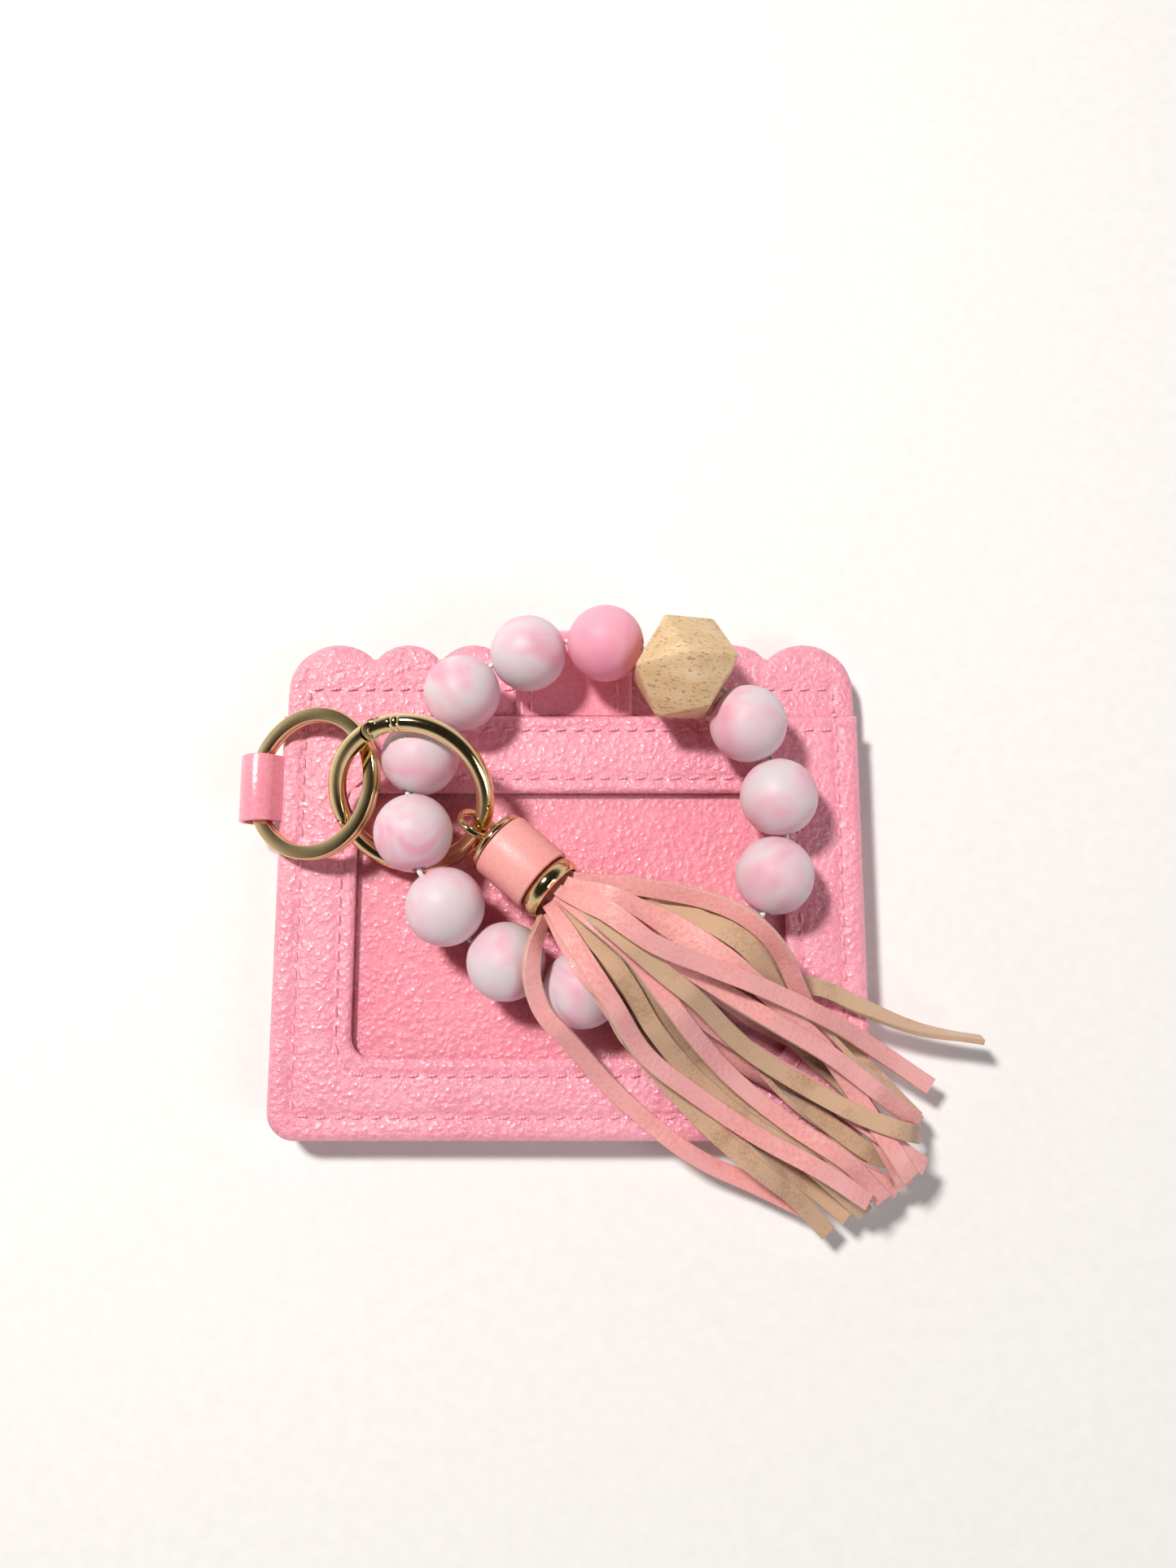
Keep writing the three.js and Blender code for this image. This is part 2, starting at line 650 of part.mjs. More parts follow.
// ---- Tassel: a bail round the gate ring's wire, cap, band, ferrule and fringe on one axis ----
const bailCentre = wirePoint(ring, tassel.bailAt);
const tasselAxis = new THREE.Vector3(
  Math.cos(tassel.heading) * Math.cos(tassel.rise),
  Math.sin(tassel.heading) * Math.cos(tassel.rise),
  Math.sin(tassel.rise),
);
const wireTangent = wirePoint(ring, tassel.bailAt + 0.01)
  .sub(wirePoint(ring, tassel.bailAt - 0.01))
  .normalize();
const bailNormal = wireTangent
  .clone()
  .addScaledVector(tasselAxis, -wireTangent.dot(tasselAxis))
  .normalize();
const tasselGroup = new THREE.Group();
const bailSink = 0.4; // the bail's wire is brazed this deep into the cap
const capTopAt = bail.innerRadius + 2 * bail.wireRadius - bailSink;
const bailPlay = bail.innerRadius - wire - gap - 0.2;
tasselGroup.position.copy(bailCentre).addScaledVector(tasselAxis, capTopAt - bailPlay);
const tasselSide = new THREE.Vector3().crossVectors(bailNormal, tasselAxis);
tasselGroup.setRotationFromMatrix(new THREE.Matrix4().makeBasis(tasselSide, bailNormal, tasselAxis));
root.add(tasselGroup);

const bailRing = new THREE.TorusGeometry(bail.innerRadius + bail.wireRadius, bail.wireRadius, 8, 20);
bailRing.rotateX(Math.PI / 2).translate(0, 0, -capTopAt);
const capDisc = turned(
  [
    [0, 0],
    [cap.radius - 0.9, 0],
    [cap.radius - 0.2, 0.4],
    [cap.radius, 0.9],
    [cap.radius, cap.height],
    [0, cap.height],
  ],
  24,
);
add("tassel_cap", joined(capDisc, bailRing), gold, tasselGroup);
const bandStart = cap.height + gap;
const bandEnd = bandStart + band.length;
function sleeve(outerRadius, innerRadius, z0, z1, segments) {
  const rim = Math.min(0.3, (z1 - z0) / 4);
  return turned(
    [
      [outerRadius - rim, z0],
      [outerRadius, z0 + rim],
      [outerRadius, z1 - rim],
      [outerRadius - rim, z1],
      [innerRadius, z1],
      [innerRadius, z0],
      [outerRadius - rim, z0],
    ],
    segments,
  );
}
const bandTube = sleeve(band.radius, band.radius - band.leather, bandStart, bandEnd, 24);
add("tassel_band", bandTube, smoothLeather, tasselGroup);
const ferruleStart = bandEnd + gap;
const ferruleEnd = ferruleStart + ferrule.width;
const ferruleTube = sleeve(ferrule.radius, ferrule.innerRadius, ferruleStart, ferruleEnd, 24);
add("tassel_ferrule", ferruleTube, gold, tasselGroup);

// The fringe: leather cut into strips and rolled up in the band, given here as the space that its
// bundle fills. It rises over the beads, comes down on the wallet and reaches past its corner.
const heading = new THREE.Vector3(Math.cos(tassel.heading), Math.sin(tassel.heading), 0);
const alongTassel = (distance) => tasselGroup.position.clone().addScaledVector(tasselAxis, distance);
const ferruleExit = alongTassel(ferruleEnd);
const overBeads = restHeight + beadRadius + gap;
const onWallet = frontZ + gap;
const lowerBeads = beadCentres.filter((p) => p.y < ferruleExit.y && p.x > ferruleExit.x);
const beadsFrom = ferruleExit.clone().setZ(0);
const beadReaches = lowerBeads.map((p) => p.clone().setZ(0).sub(beadsFrom).dot(heading));
const pastBeads = Math.max(...beadReaches) + beadRadius;

// Stations along the bundle: distance from the ferrule, lowest height, half width, half thickness.
const rootRadius = fringe.rootRadius;
const stations = [
  [7, ferruleExit.z - 2.2, 6.4, 4.2],
  [16, overBeads, 9, 3],
  [pastBeads * 0.62, overBeads, 12.5, 2.4],
  [pastBeads + 4, overBeads, 15, 2.2],
  [pastBeads + 12, (overBeads + onWallet) / 2, fringe.spread, 2],
  [pastBeads + 22, onWallet + 0.6, fringe.spread, 2],
  [fringe.length - 12, onWallet + 0.6, fringe.spread, 1.8],
  [fringe.length, onWallet, fringe.spread - 1, 1.6],
];
const rolledUp = [bandStart + 1, (bandStart + ferruleEnd) / 2, ferruleEnd];
const bundle = [
  ...rolledUp.map((distance) => ({ at: alongTassel(distance), wide: rootRadius, thick: rootRadius })),
  ...stations.map(([distance, lowest, wide, thick]) => ({
    at: ferruleExit.clone().addScaledVector(heading, distance).setZ(lowest + thick),
    wide,
    thick,
  })),
];
const bundleCurve = new THREE.CatmullRomCurve3(bundle.map((s) => s.at), false, "centripetal");
function sectionAt(t) {
  const place = t * (bundle.length - 1);
  const i = Math.min(Math.floor(place), bundle.length - 2);
  const share = place - i;
  return {
    wide: THREE.MathUtils.lerp(bundle[i].wide, bundle[i + 1].wide, share),
    thick: THREE.MathUtils.lerp(bundle[i].thick, bundle[i + 1].thick, share),
  };
}
// Bends a box of unit size along a curve; shape gives each section's half width and thickness.
function bentBox(curve, across, through, along, shape, round) {
  const geometry = new THREE.BoxGeometry(1, 1, 1, across, through, along);
  const position = geometry.attributes.position;
  for (let i = 0; i < position.count; i++) {
    const u = 2 * position.getX(i);
    const v = 2 * position.getY(i);
    const t = position.getZ(i) + 0.5;
    const { wide, thick } = shape(t);
    const at = curve.getPoint(t);
    const tangent = curve.getTangent(t);
    const side = new THREE.Vector3().crossVectors(zAxis, tangent).normalize();
    const up = new THREE.Vector3().crossVectors(tangent, side);
    const x = round ? u * Math.sqrt(1 - (v * v) / 2) : u;
    const y = round ? v * Math.sqrt(1 - (u * u) / 2) : v;
    at.addScaledVector(side, x * wide).addScaledVector(up, y * thick);
    position.setXYZ(i, at.x, at.y, at.z);
  }
  return geometry;
}
// Two straps have strayed from the bundle. Points give distance along the heading, distance to
// its left, and height, all from the ferrule's end.
const toLeft = new THREE.Vector3(-heading.y, heading.x, 0);
const aboveBeads = overBeads + fringe.strapThickness - ferruleExit.z;
const aboveWallet = onWallet + fringe.strapThickness - ferruleExit.z;
const outerStray = [
  [1.5, -1.5, 0],
  [6, -7, 2],
  [9.5, -14, aboveBeads - 1],
  [16, -18.6, aboveBeads - 1.6],
  [25, -21.3, aboveWallet + 4],
  [39, -23, aboveWallet],
  [56, -21.5, aboveWallet],
  [75, -14, aboveWallet],
];
const innerStray = [
  [1.5, 1.5, 0],
  [12, 6, aboveBeads + 1],
  [27, 12, aboveBeads + 1],
  [39, 15, aboveBeads + 0.8],
  [49, 19, aboveWallet + 6],
  [59, 23, aboveWallet + 0.5],
  [71, 26, aboveWallet],
  [83, 32, aboveWallet],
];
function strayStrap(route) {
  const points = route.map(([forward, left, height]) =>
    ferruleExit
      .clone()
      .addScaledVector(heading, forward)
      .addScaledVector(toLeft, left)
      .add(new THREE.Vector3(0, 0, height)),
  );
  const curve = new THREE.CatmullRomCurve3(points, false, "centripetal");
  const section = () => ({ wide: fringe.strapWidth / 2, thick: fringe.strapThickness / 2 });
  return bentBox(curve, 1, 1, 18, section, false);
}
const bundleShape = bentBox(bundleCurve, 6, 3, 20, sectionAt, true);
add("fringe", joined(bundleShape, strayStrap(outerStray), strayStrap(innerStray)), fringeLeather);

// ---- Joint axes, for whoever poses the part ----
root.userData.joints = {
  strap_open: { at: strapHinge, axis: [1, 0, 0] },
  split_ring_swing: { at: tabAxis, axis: [0, -1, 0] },
  gate_ring_swing: { at: splitReach, axis: [0, -1, 0] },
  ring_gate_open: {
    at: hingePoint.clone().applyQuaternion(ringGroup.quaternion).add(ringGroup.position),
    axis: ringNormal.toArray(),
  },
  bracelet_swing: { at: ringGroup.position, axis: [0, 0, -1] },
  tassel_swing: { at: bailCentre, axis: new THREE.Vector3().crossVectors(heading, zAxis).toArray() },
};
for (const spin of beadJoints) {
  root.userData.joints[spin.name + "_spin"] = { at: spin.centre, axis: spin.direction.toArray() };
}
export default root;
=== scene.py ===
"""Wristlet keychain, lying on its back: a scalloped card wallet with a film window, a leather tab
holding a split ring, a spring-gate ring, a bracelet of silicone beads and a leather tassel."""

import json
import math

import bmesh
import bpy
import numpy as np
from mathutils import Matrix, Vector


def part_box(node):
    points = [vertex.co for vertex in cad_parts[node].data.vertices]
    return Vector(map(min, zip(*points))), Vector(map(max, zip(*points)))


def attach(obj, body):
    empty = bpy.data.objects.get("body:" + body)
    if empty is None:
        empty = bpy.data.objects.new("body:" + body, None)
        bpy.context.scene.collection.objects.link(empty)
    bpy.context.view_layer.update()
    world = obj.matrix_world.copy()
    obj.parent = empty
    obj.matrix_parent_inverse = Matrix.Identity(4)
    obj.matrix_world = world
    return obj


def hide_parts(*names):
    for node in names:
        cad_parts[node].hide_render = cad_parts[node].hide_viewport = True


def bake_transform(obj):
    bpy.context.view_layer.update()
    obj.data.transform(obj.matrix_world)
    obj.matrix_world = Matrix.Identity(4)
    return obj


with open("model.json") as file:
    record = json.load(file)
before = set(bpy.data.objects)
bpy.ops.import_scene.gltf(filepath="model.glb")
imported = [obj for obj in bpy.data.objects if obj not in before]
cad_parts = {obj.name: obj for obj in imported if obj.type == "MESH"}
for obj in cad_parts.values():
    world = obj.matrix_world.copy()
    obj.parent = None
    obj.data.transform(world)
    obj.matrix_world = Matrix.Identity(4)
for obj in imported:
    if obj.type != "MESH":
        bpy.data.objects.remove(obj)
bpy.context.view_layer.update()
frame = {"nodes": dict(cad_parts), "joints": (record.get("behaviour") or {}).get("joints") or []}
MM = 0.001
joint = {j["name"]: j for j in frame["joints"]}


# ---- Camera ----
def add_camera():
    """Stands over the wallet's middle, leaning back a little toward its top edge."""
    lens = bpy.data.cameras.new("overhead_camera")
    lens.lens = 27.2
    lens.clip_start = 0.01
    camera = bpy.data.objects.new("overhead_camera", lens)
    camera.location = Vector((3.5, -21.6, 241.4)) * MM
    camera.rotation_euler = (math.radians(10.05), 0, 0)
    bpy.context.scene.collection.objects.link(camera)
    bpy.context.scene.camera = camera


add_camera()


# ---- Materials ----
def linear(hex_colour):
    """The linear colour of an sRGB hex value."""
    channels = [int(hex_colour[i : i + 2], 16) / 255 for i in (1, 3, 5)]
    return tuple(c / 12.92 if c <= 0.04045 else ((c + 0.055) / 1.055) ** 2.4 for c in channels) + (1,)


def feed(material, node, inputs):
    """Gives a node's inputs their values, or links them to the outputs of other nodes."""
    for name, source in inputs.items():
        if isinstance(source, bpy.types.NodeSocket):
            material.node_tree.links.new(source, node.inputs[name])
        else:
            node.inputs[name].default_value = source


def add_node(material, kind, inputs=None, stops=(), **settings):
    """Adds a node. Its inputs are values or outputs to link, a setting is the node's own property or
    an input's value, and stops are a colour ramp's places with a hex colour or a grey value each."""
    node = material.node_tree.nodes.new(kind)
    for name, value in settings.items():
        if hasattr(node, name):
            setattr(node, name, value)
        else:
            feed(material, node, {name: value})
    feed(material, node, inputs or {})
    while stops and len(node.color_ramp.elements) < len(stops):
        node.color_ramp.elements.new(0.5)
    for place, (at, tone) in enumerate(stops):
        element = node.color_ramp.elements[place]
        element.position = at
        element.color = linear(tone) if isinstance(tone, str) else (tone, tone, tone, 1)
    return node


def new_material(name):
    """An empty material, its shader's node, and coordinates that stay with the piece."""
    material = bpy.data.materials.new(name)
    material.use_nodes = True
    at = add_node(material, "ShaderNodeTexCoord").outputs["Object"]
    return material, material.node_tree.nodes["Principled BSDF"], at


def per_metre(millimetres):
    """A pattern's scale for a feature of this size."""
    return 1 / (millimetres * MM)


def finish_shader(material, shader, colour, bump, **inputs):
    """Links a shader's colour and bump, and feeds the inputs named here."""
    feed(material, shader, {"Base Color": colour, "Normal": bump})
    feed(material, shader, {name.replace("_", " "): source for name, source in inputs.items()})
    return material


def leather(name, light, dark, grain_mm, depth_mm, roughness, coat):
    """PU leather, a coating pressed against an embossing roll: pebbles with fine creases between
    them, whose tops are glossier than the creases and catch small white flecks. Its colour carries painted
    light and shade that follows the grain's relief, laid over a random mottle."""
    material, shader, at = new_material(name)
    sway_size = per_metre(grain_mm * 3)
    sway = add_node(material, "ShaderNodeTexNoise", {"Vector": at}, Scale=sway_size, Detail=2.0)
    shift = add_node(
        material,
        "ShaderNodeVectorMath",
        {0: sway.outputs["Color"], "Scale": grain_mm * 1.3 * MM},
        operation="SCALE",
    )
    bent = add_node(material, "ShaderNodeVectorMath", {0: at, 1: shift.outputs[0]}, operation="ADD")
    pebbles = add_node(
        material,
        "ShaderNodeTexVoronoi",
        {"Vector": bent.outputs[0]},
        feature="SMOOTH_F1",
        Scale=per_metre(grain_mm),
        Smoothness=0.4,
    )
    crease_size = per_metre(grain_mm * 0.5)
    creases = add_node(
        material, "ShaderNodeTexNoise", {"Vector": at}, Scale=crease_size, Detail=4.0, Roughness=0.6
    )
    height = add_node(
        material,
        "ShaderNodeMath",
        {0: pebbles.outputs["Distance"], 1: creases.outputs["Fac"]},
        operation="MULTIPLY",
    ).outputs[0]
    mottle = add_node(material, "ShaderNodeTexNoise", {"Vector": at}, Scale=per_metre(14), Detail=3.0)
    # Painted light and shade: the tone adds the grain's height value to a random mottle, so the relief is
    # painted into the colour.
    mixed = add_node(material, "ShaderNodeMath", {0: mottle.outputs["Fac"], 1: height}, operation="ADD")
    tones = [(0.45, dark), (0.95, light)]
    colour = add_node(material, "ShaderNodeValToRGB", {"Fac": mixed.outputs[0]}, tones)
    sheens = [(0.1, max(roughness - 0.1, 0.05)), (0.6, roughness + 0.16)]
    gloss = add_node(material, "ShaderNodeValToRGB", {"Fac": height}, sheens)
    bump = add_node(
        material, "ShaderNodeBump", {"Height": height, "Distance": depth_mm * MM}, invert=True, Strength=1.0
    ).outputs[0]
    return finish_shader(
        material,
        shader,
        colour.outputs[0],
        bump,
        Roughness=gloss.outputs[0],
        Coat_Normal=bump,
        IOR=1.5,
        Coat_Weight=coat,
        Coat_Roughness=0.16,
    )


def suede(name, light, dark):
    """The flesh side of split leather, buffed: matte tan fibres with a soft nap."""
    material, shader, at = new_material(name)
    nap = add_node(
        material, "ShaderNodeTexNoise", {"Vector": at}, Scale=per_metre(0.5), Detail=5.0, Roughness=0.7
    ).outputs["Fac"]
    patches = add_node(material, "ShaderNodeTexNoise", {"Vector": at}, Scale=per_metre(7), Detail=2.0)
    mixed = add_node(material, "ShaderNodeMath", {0: nap, 1: patches.outputs["Fac"]}, operation="ADD")
    tones = [(0.75, dark), (1.25, light)]
    colour = add_node(material, "ShaderNodeValToRGB", {"Fac": mixed.outputs[0]}, tones).outputs[0]
    bump = add_node(material, "ShaderNodeBump", {"Height": nap}, Strength=0.8, Distance=0.2 * MM)
    return finish_shader(material, shader, colour, bump.outputs[0], Roughness=0.92, Sheen_Weight=0.35)


def silicone(name, stops, marbled):
    """Platinum silicone, moulded, with two colours folded together before the mould is filled: a
    matte skin with cloudy swirls under it."""
    material, shader, at = new_material(name)
    fold = add_node(material, "ShaderNodeTexNoise", {"Vector": at}, Scale=per_metre(11), Detail=2.0)
    swirl = add_node(
        material,
        "ShaderNodeTexNoise",
        {"Vector": at},
        Scale=per_metre(12 if marbled else 20),
        Detail=2.5,
        Roughness=0.45,
        Distortion=1.8,
    )
    both = add_node(
        material,
        "ShaderNodeMath",
        {0: swirl.outputs["Fac"], 1: fold.outputs["Fac"]},
        operation="ADD",
    )
    halved = add_node(material, "ShaderNodeMath", {0: both.outputs[0], 1: 0.5}, operation="MULTIPLY")
    skin = add_node(
        material, "ShaderNodeTexNoise", {"Vector": at}, Scale=per_metre(0.3), Detail=2.0
    ).outputs["Fac"]
    bump = add_node(material, "ShaderNodeBump", {"Height": skin}, Strength=0.25, Distance=0.03 * MM)
    gloss = add_node(material, "ShaderNodeValToRGB", {"Fac": skin}, [(0.3, 0.42), (0.7, 0.54)])
    colour = add_node(material, "ShaderNodeValToRGB", {"Fac": halved.outputs[0]}, stops)
    return finish_shader(
        material,
        shader,
        colour.outputs[0],
        bump.outputs[0],
        Roughness=gloss.outputs[0],
        IOR=1.41,
        Subsurface_Weight=0.15,
        Subsurface_Radius=(0.0012, 0.0008, 0.0008),
    )


def plated(name, tone, worn):
    """Zinc alloy or spring steel, polished and plated pale gold: a mirror with faint hairlines left
    by the polishing wheel."""
    material, shader, at = new_material(name)
    hairlines = add_node(
        material, "ShaderNodeTexNoise", {"Vector": at}, Scale=per_metre(0.35), Detail=4.0
    ).outputs["Fac"]
    clouds = add_node(
        material, "ShaderNodeTexNoise", {"Vector": at}, Scale=per_metre(5), Detail=2.0
    ).outputs["Fac"]
    colour = add_node(material, "ShaderNodeValToRGB", {"Fac": clouds}, [(0.3, worn), (0.7, tone)])
    gloss = add_node(material, "ShaderNodeValToRGB", {"Fac": hairlines}, [(0.35, 0.07), (0.75, 0.14)])
    bump = add_node(
        material, "ShaderNodeBump", {"Height": hairlines}, Strength=0.12, Distance=0.02 * MM
    )
    return finish_shader(
        material,
        shader,
        colour.outputs[0],
        bump.outputs[0],
        Roughness=gloss.outputs[0],
        Metallic=1.0,
    )


def beech(name):
    """Beech, cut to facets and sanded without a finish: pale straw with short dark ray flecks that
    run along the grain."""
    material, shader, at = new_material(name)
    lay = (0.3, 0.5, math.radians(-38))
    along = add_node(
        material, "ShaderNodeMapping", {"Vector": at, "Rotation": lay, "Scale": (0.22, 1.0, 1.0)}
    ).outputs[0]
    grain = add_node(
        material, "ShaderNodeTexNoise", {"Vector": along}, Scale=per_metre(2.6), Detail=3.0
    ).outputs["Fac"]
    flecks = add_node(
        material, "ShaderNodeTexNoise", {"Vector": along}, Scale=per_metre(0.42), Detail=1.0
    ).outputs["Fac"]
    straws = [(0.3, "#d3b083"), (0.55, "#dcbd94"), (0.75, "#e4caa6")]
    body = add_node(material, "ShaderNodeValToRGB", {"Fac": grain}, straws).outputs[0]
    share = add_node(material, "ShaderNodeValToRGB", {"Fac": flecks}, [(0.60, 0.0), (0.68, 0.75)])
    colour = add_node(
        material,
        "ShaderNodeMix",
        {0: share.outputs[0], 6: body, 7: linear("#a57c50")},
        data_type="RGBA",
    )
    bump = add_node(
        material, "ShaderNodeBump", {"Height": flecks}, invert=True, Strength=0.5, Distance=0.08 * MM
    )
    return finish_shader(material, shader, colour.outputs[2], bump.outputs[0], Roughness=0.62, IOR=1.5)


def clear_film(name):
    """Clear PVC film, calendered: see-through with a smooth gloss that is broken by faint waves."""
    material, gloss, at = new_material(name)
    waves = add_node(
        material, "ShaderNodeTexNoise", {"Vector": at}, Scale=per_metre(9), Detail=1.0
    ).outputs["Fac"]
    bump = add_node(material, "ShaderNodeBump", {"Height": waves}, Strength=0.6, Distance=0.15 * MM)
    finish_shader(material, gloss, linear("#f0c4cc"), bump.outputs[0], Roughness=0.07, IOR=1.53)
    clear = add_node(material, "ShaderNodeBsdfTransparent", {"Color": linear("#fffdfd")})
    haze = add_node(
        material, "ShaderNodeTexNoise", {"Vector": at}, Scale=per_metre(18), Detail=2.0
    ).outputs["Fac"]
    share = add_node(material, "ShaderNodeValToRGB", {"Fac": haze}, [(0.3, 0.03), (0.7, 0.09)])
    edge = add_node(material, "ShaderNodeLayerWeight", Blend=0.2).outputs["Fresnel"]
    both = add_node(material, "ShaderNodeMath", {0: share.outputs[0], 1: edge}, operation="MAXIMUM")
    shown = add_node(
        material,
        "ShaderNodeMixShader",
        {0: both.outputs[0], 1: clear.outputs[0], 2: gloss.outputs[0]},
    )
    feed(material, material.node_tree.nodes["Material Output"], {"Surface": shown.outputs[0]})
    return material


def thread(name, light, dark, ply_mm):
    """Spun or woven polyester: fine plies that break the light up."""
    material, shader, at = new_material(name)
    plies = add_node(
        material, "ShaderNodeTexWave", {"Vector": at}, Scale=per_metre(ply_mm) / 6.28, Distortion=2.0
    ).outputs["Fac"]
    colour = add_node(material, "ShaderNodeValToRGB", {"Fac": plies}, [(0.2, dark), (0.8, light)])
    bump = add_node(material, "ShaderNodeBump", {"Height": plies}, Strength=0.5, Distance=0.06 * MM)
    return finish_shader(
        material, shader, colour.outputs[0], bump.outputs[0], Roughness=0.6, Sheen_Weight=0.2
    )


PEBBLED = leather("pebbled_pu_leather", "#faa4b6", "#f391a7", 1.3, 0.62, 0.24, 1.0)
SMOOTH = leather("smooth_pu_leather", "#f99fae", "#f490a3", 0.8, 0.05, 0.28, 0.4)
BAND = leather("tassel_band_leather", "#f4a8a3", "#ec9a97", 0.7, 0.05, 0.48, 0.0)
STRIP = leather("fringe_grain_side", "#f0aaa6", "#e49896", 0.8, 0.12, 0.36, 0.0)
SUEDE = suede("fringe_suede_side", "#cfa98a", "#b48d6e")
MARBLE = silicone(
    "marbled_silicone",
    [(0.36, "#e5a6b9"), (0.45, "#e4bcc8"), (0.53, "#dfcad1"), (0.62, "#d8ced2")],
    True,
)
PINK_SILICONE = silicone("pink_silicone", [(0.4, "#ef95b0"), (0.6, "#f2a9bc")], False)
GOLD = plated("pale_gold_plating", "#efd9aa", "#e4c893")
BEECH = beech("sanded_beech")
FILM = clear_film("pvc_window_film")
THREAD = thread("pink_polyester_thread", "#ffbac8", "#ee8fa6", 0.35)
LINING = thread("woven_lining", "#ee9db0", "#dd8299", 0.5)
ELASTIC = thread("elastic_cord_rubber", "#f8f0f0", "#e9dcde", 0.4)


# ---- Making meshes ----
def make(name, verts, faces, materials, body, slot, replaces=(), kinds=None, sharp=None):
    """A piece from vertices in millimetres, riding on a body. kinds gives each face's material."""
    mesh = bpy.data.meshes.new(name)
    mesh.from_pydata([tuple(c * MM for c in v) for v in verts], [], faces)
    for material in materials:
        mesh.materials.append(material)
    piece = bpy.data.objects.new(name, mesh)
    bpy.context.scene.collection.objects.link(piece)
    if kinds is not None:
        mesh.polygons.foreach_set("material_index", kinds)
    settle(piece, sharp)
    if body:
        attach(piece, body)
    if replaces:
        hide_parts(*replaces)
    return piece


def settle(piece, sharp=None):
    """Turns the faces outward and shades them smooth, except across angles over sharp degrees."""
    shape = bmesh.new()
    shape.from_mesh(piece.data)
    bmesh.ops.remove_doubles(shape, verts=shape.verts, dist=1e-7)
    bmesh.ops.recalc_face_normals(shape, faces=shape.faces)
    shape.to_mesh(piece.data)
    shape.free()
    piece.data.shade_smooth()
    if sharp is not None:
        piece.data.set_sharp_from_angle(angle=math.radians(sharp))


def finish_modifiers(piece):
    """Applies a piece's modifiers to its mesh."""
    bpy.context.view_layer.update()
    shown = piece.evaluated_get(bpy.context.evaluated_depsgraph_get())
    mesh = bpy.data.meshes.new_from_object(shown)
    piece.modifiers.clear()
    piece.data = mesh


def carve(piece, tool, how):
    """Cuts a tool's shape from a piece or joins it on, and removes the tool."""
    change = piece.modifiers.new("carve", "BOOLEAN")
    change.operation = how
    change.solver = "EXACT"
    change.object = tool
    finish_modifiers(piece)
    bpy.data.objects.remove(tool)


def loose(name, verts, faces, materials):
    """A mesh object that is about to be joined to a piece or cut from it."""
    mesh = bpy.data.meshes.new(name)
    mesh.from_pydata([tuple(c * MM for c in v) for v in verts], [], faces)
    for material in materials:
        mesh.materials.append(material)
    tool = bpy.data.objects.new(name, mesh)
    bpy.context.scene.collection.objects.link(tool)
    settle(tool)
    return tool


def swept(stations, section, closed=False):
    """Vertices and faces of a section carried along stations of (point, side, up)."""
    section = np.asarray(section, float)
    count = len(section)
    verts = []
    for point, side, up in stations:
        verts.extend(np.asarray(point) + np.outer(section[:, 0], side) + np.outer(section[:, 1], up))
    faces = []
    spans = len(stations) if closed else len(stations) - 1
    for i in range(spans):
        a, b = i * count, ((i + 1) % len(stations)) * count
        for k in range(count):
            m = (k + 1) % count
            faces.append((a + k, a + m, b + m, b + k))
    if not closed:
        faces.append(tuple(range(count))[::-1])
        faces.append(tuple(range((len(stations) - 1) * count, len(stations) * count)))
    return verts, faces


def circle(radius, steps=20):
    turns = np.linspace(0, 2 * math.pi, steps, endpoint=False)
    return np.stack([np.cos(turns), np.sin(turns)], 1) * radius


def rounded_bar(half_width, half_height, radius, steps=4):
    """The outline of a bar with rounded edges."""
    points = []
    for quarter, (sx, sy) in enumerate([(1, 1), (-1, 1), (-1, -1), (1, -1)]):
        for k in range(steps + 1):
            turn = (quarter + k / steps) * math.pi / 2
            points.append(
                (
                    sx * (half_width - radius) + radius * math.cos(turn),
                    sy * (half_height - radius) + radius * math.sin(turn),
                )
            )
    return points


def turned(profile, origin, axis, steps=64):
    """Vertices and faces of (radius, height) pairs turned about an axis. A profile that starts and
    ends off the axis is closed on itself."""
    axis = Vector(axis).normalized()
    side = axis.orthogonal().normalized()
    up = axis.cross(side)
    on_axis = profile[0][0] == 0
    verts, rows = [], []
    for radius, height in profile:
        middle = Vector(origin) + axis * height
        if radius == 0:
            rows.append([len(verts)] * steps)
            verts.append(tuple(middle))
            continue
        rows.append(list(range(len(verts), len(verts) + steps)))
        for k in range(steps):
            turn = 2 * math.pi * k / steps
            verts.append(tuple(middle + side * radius * math.cos(turn) + up * radius * math.sin(turn)))
    pairs = list(zip(rows, rows[1:]))
    if not on_axis:
        pairs.append((rows[-1], rows[0]))
    faces = []
    for low, high in pairs:
        for k in range(steps):
            m = (k + 1) % steps
            face = [low[k], low[m], high[m], high[k]]
            corners = list(dict.fromkeys(face))
            if len(corners) > 2:
                faces.append(tuple(corners))
    return verts, faces


def eased(profile, radius, steps=3):
    """A profile with its corners rounded."""
    closed = profile[0][0] > 0
    points = [Vector(p) for p in profile]
    out = []
    for i, point in enumerate(points):
        if not closed and i in (0, len(points) - 1):
            out.append(tuple(point))
            continue
        before, after = points[i - 1] - point, points[(i + 1) % len(points)] - point
        reach = min(radius, before.length * 0.45, after.length * 0.45)
        start, end = point + before.normalized() * reach, point + after.normalized() * reach
        for k in range(steps + 1):
            t = k / steps
            out.append(tuple(start * (1 - t) ** 2 + point * 2 * t * (1 - t) + end * t * t))
    return out


def middle_of(node):
    low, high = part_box(node)
    return (low + high) / 2 / MM


def span_of(node):
    low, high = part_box(node)
    return low / MM, high / MM


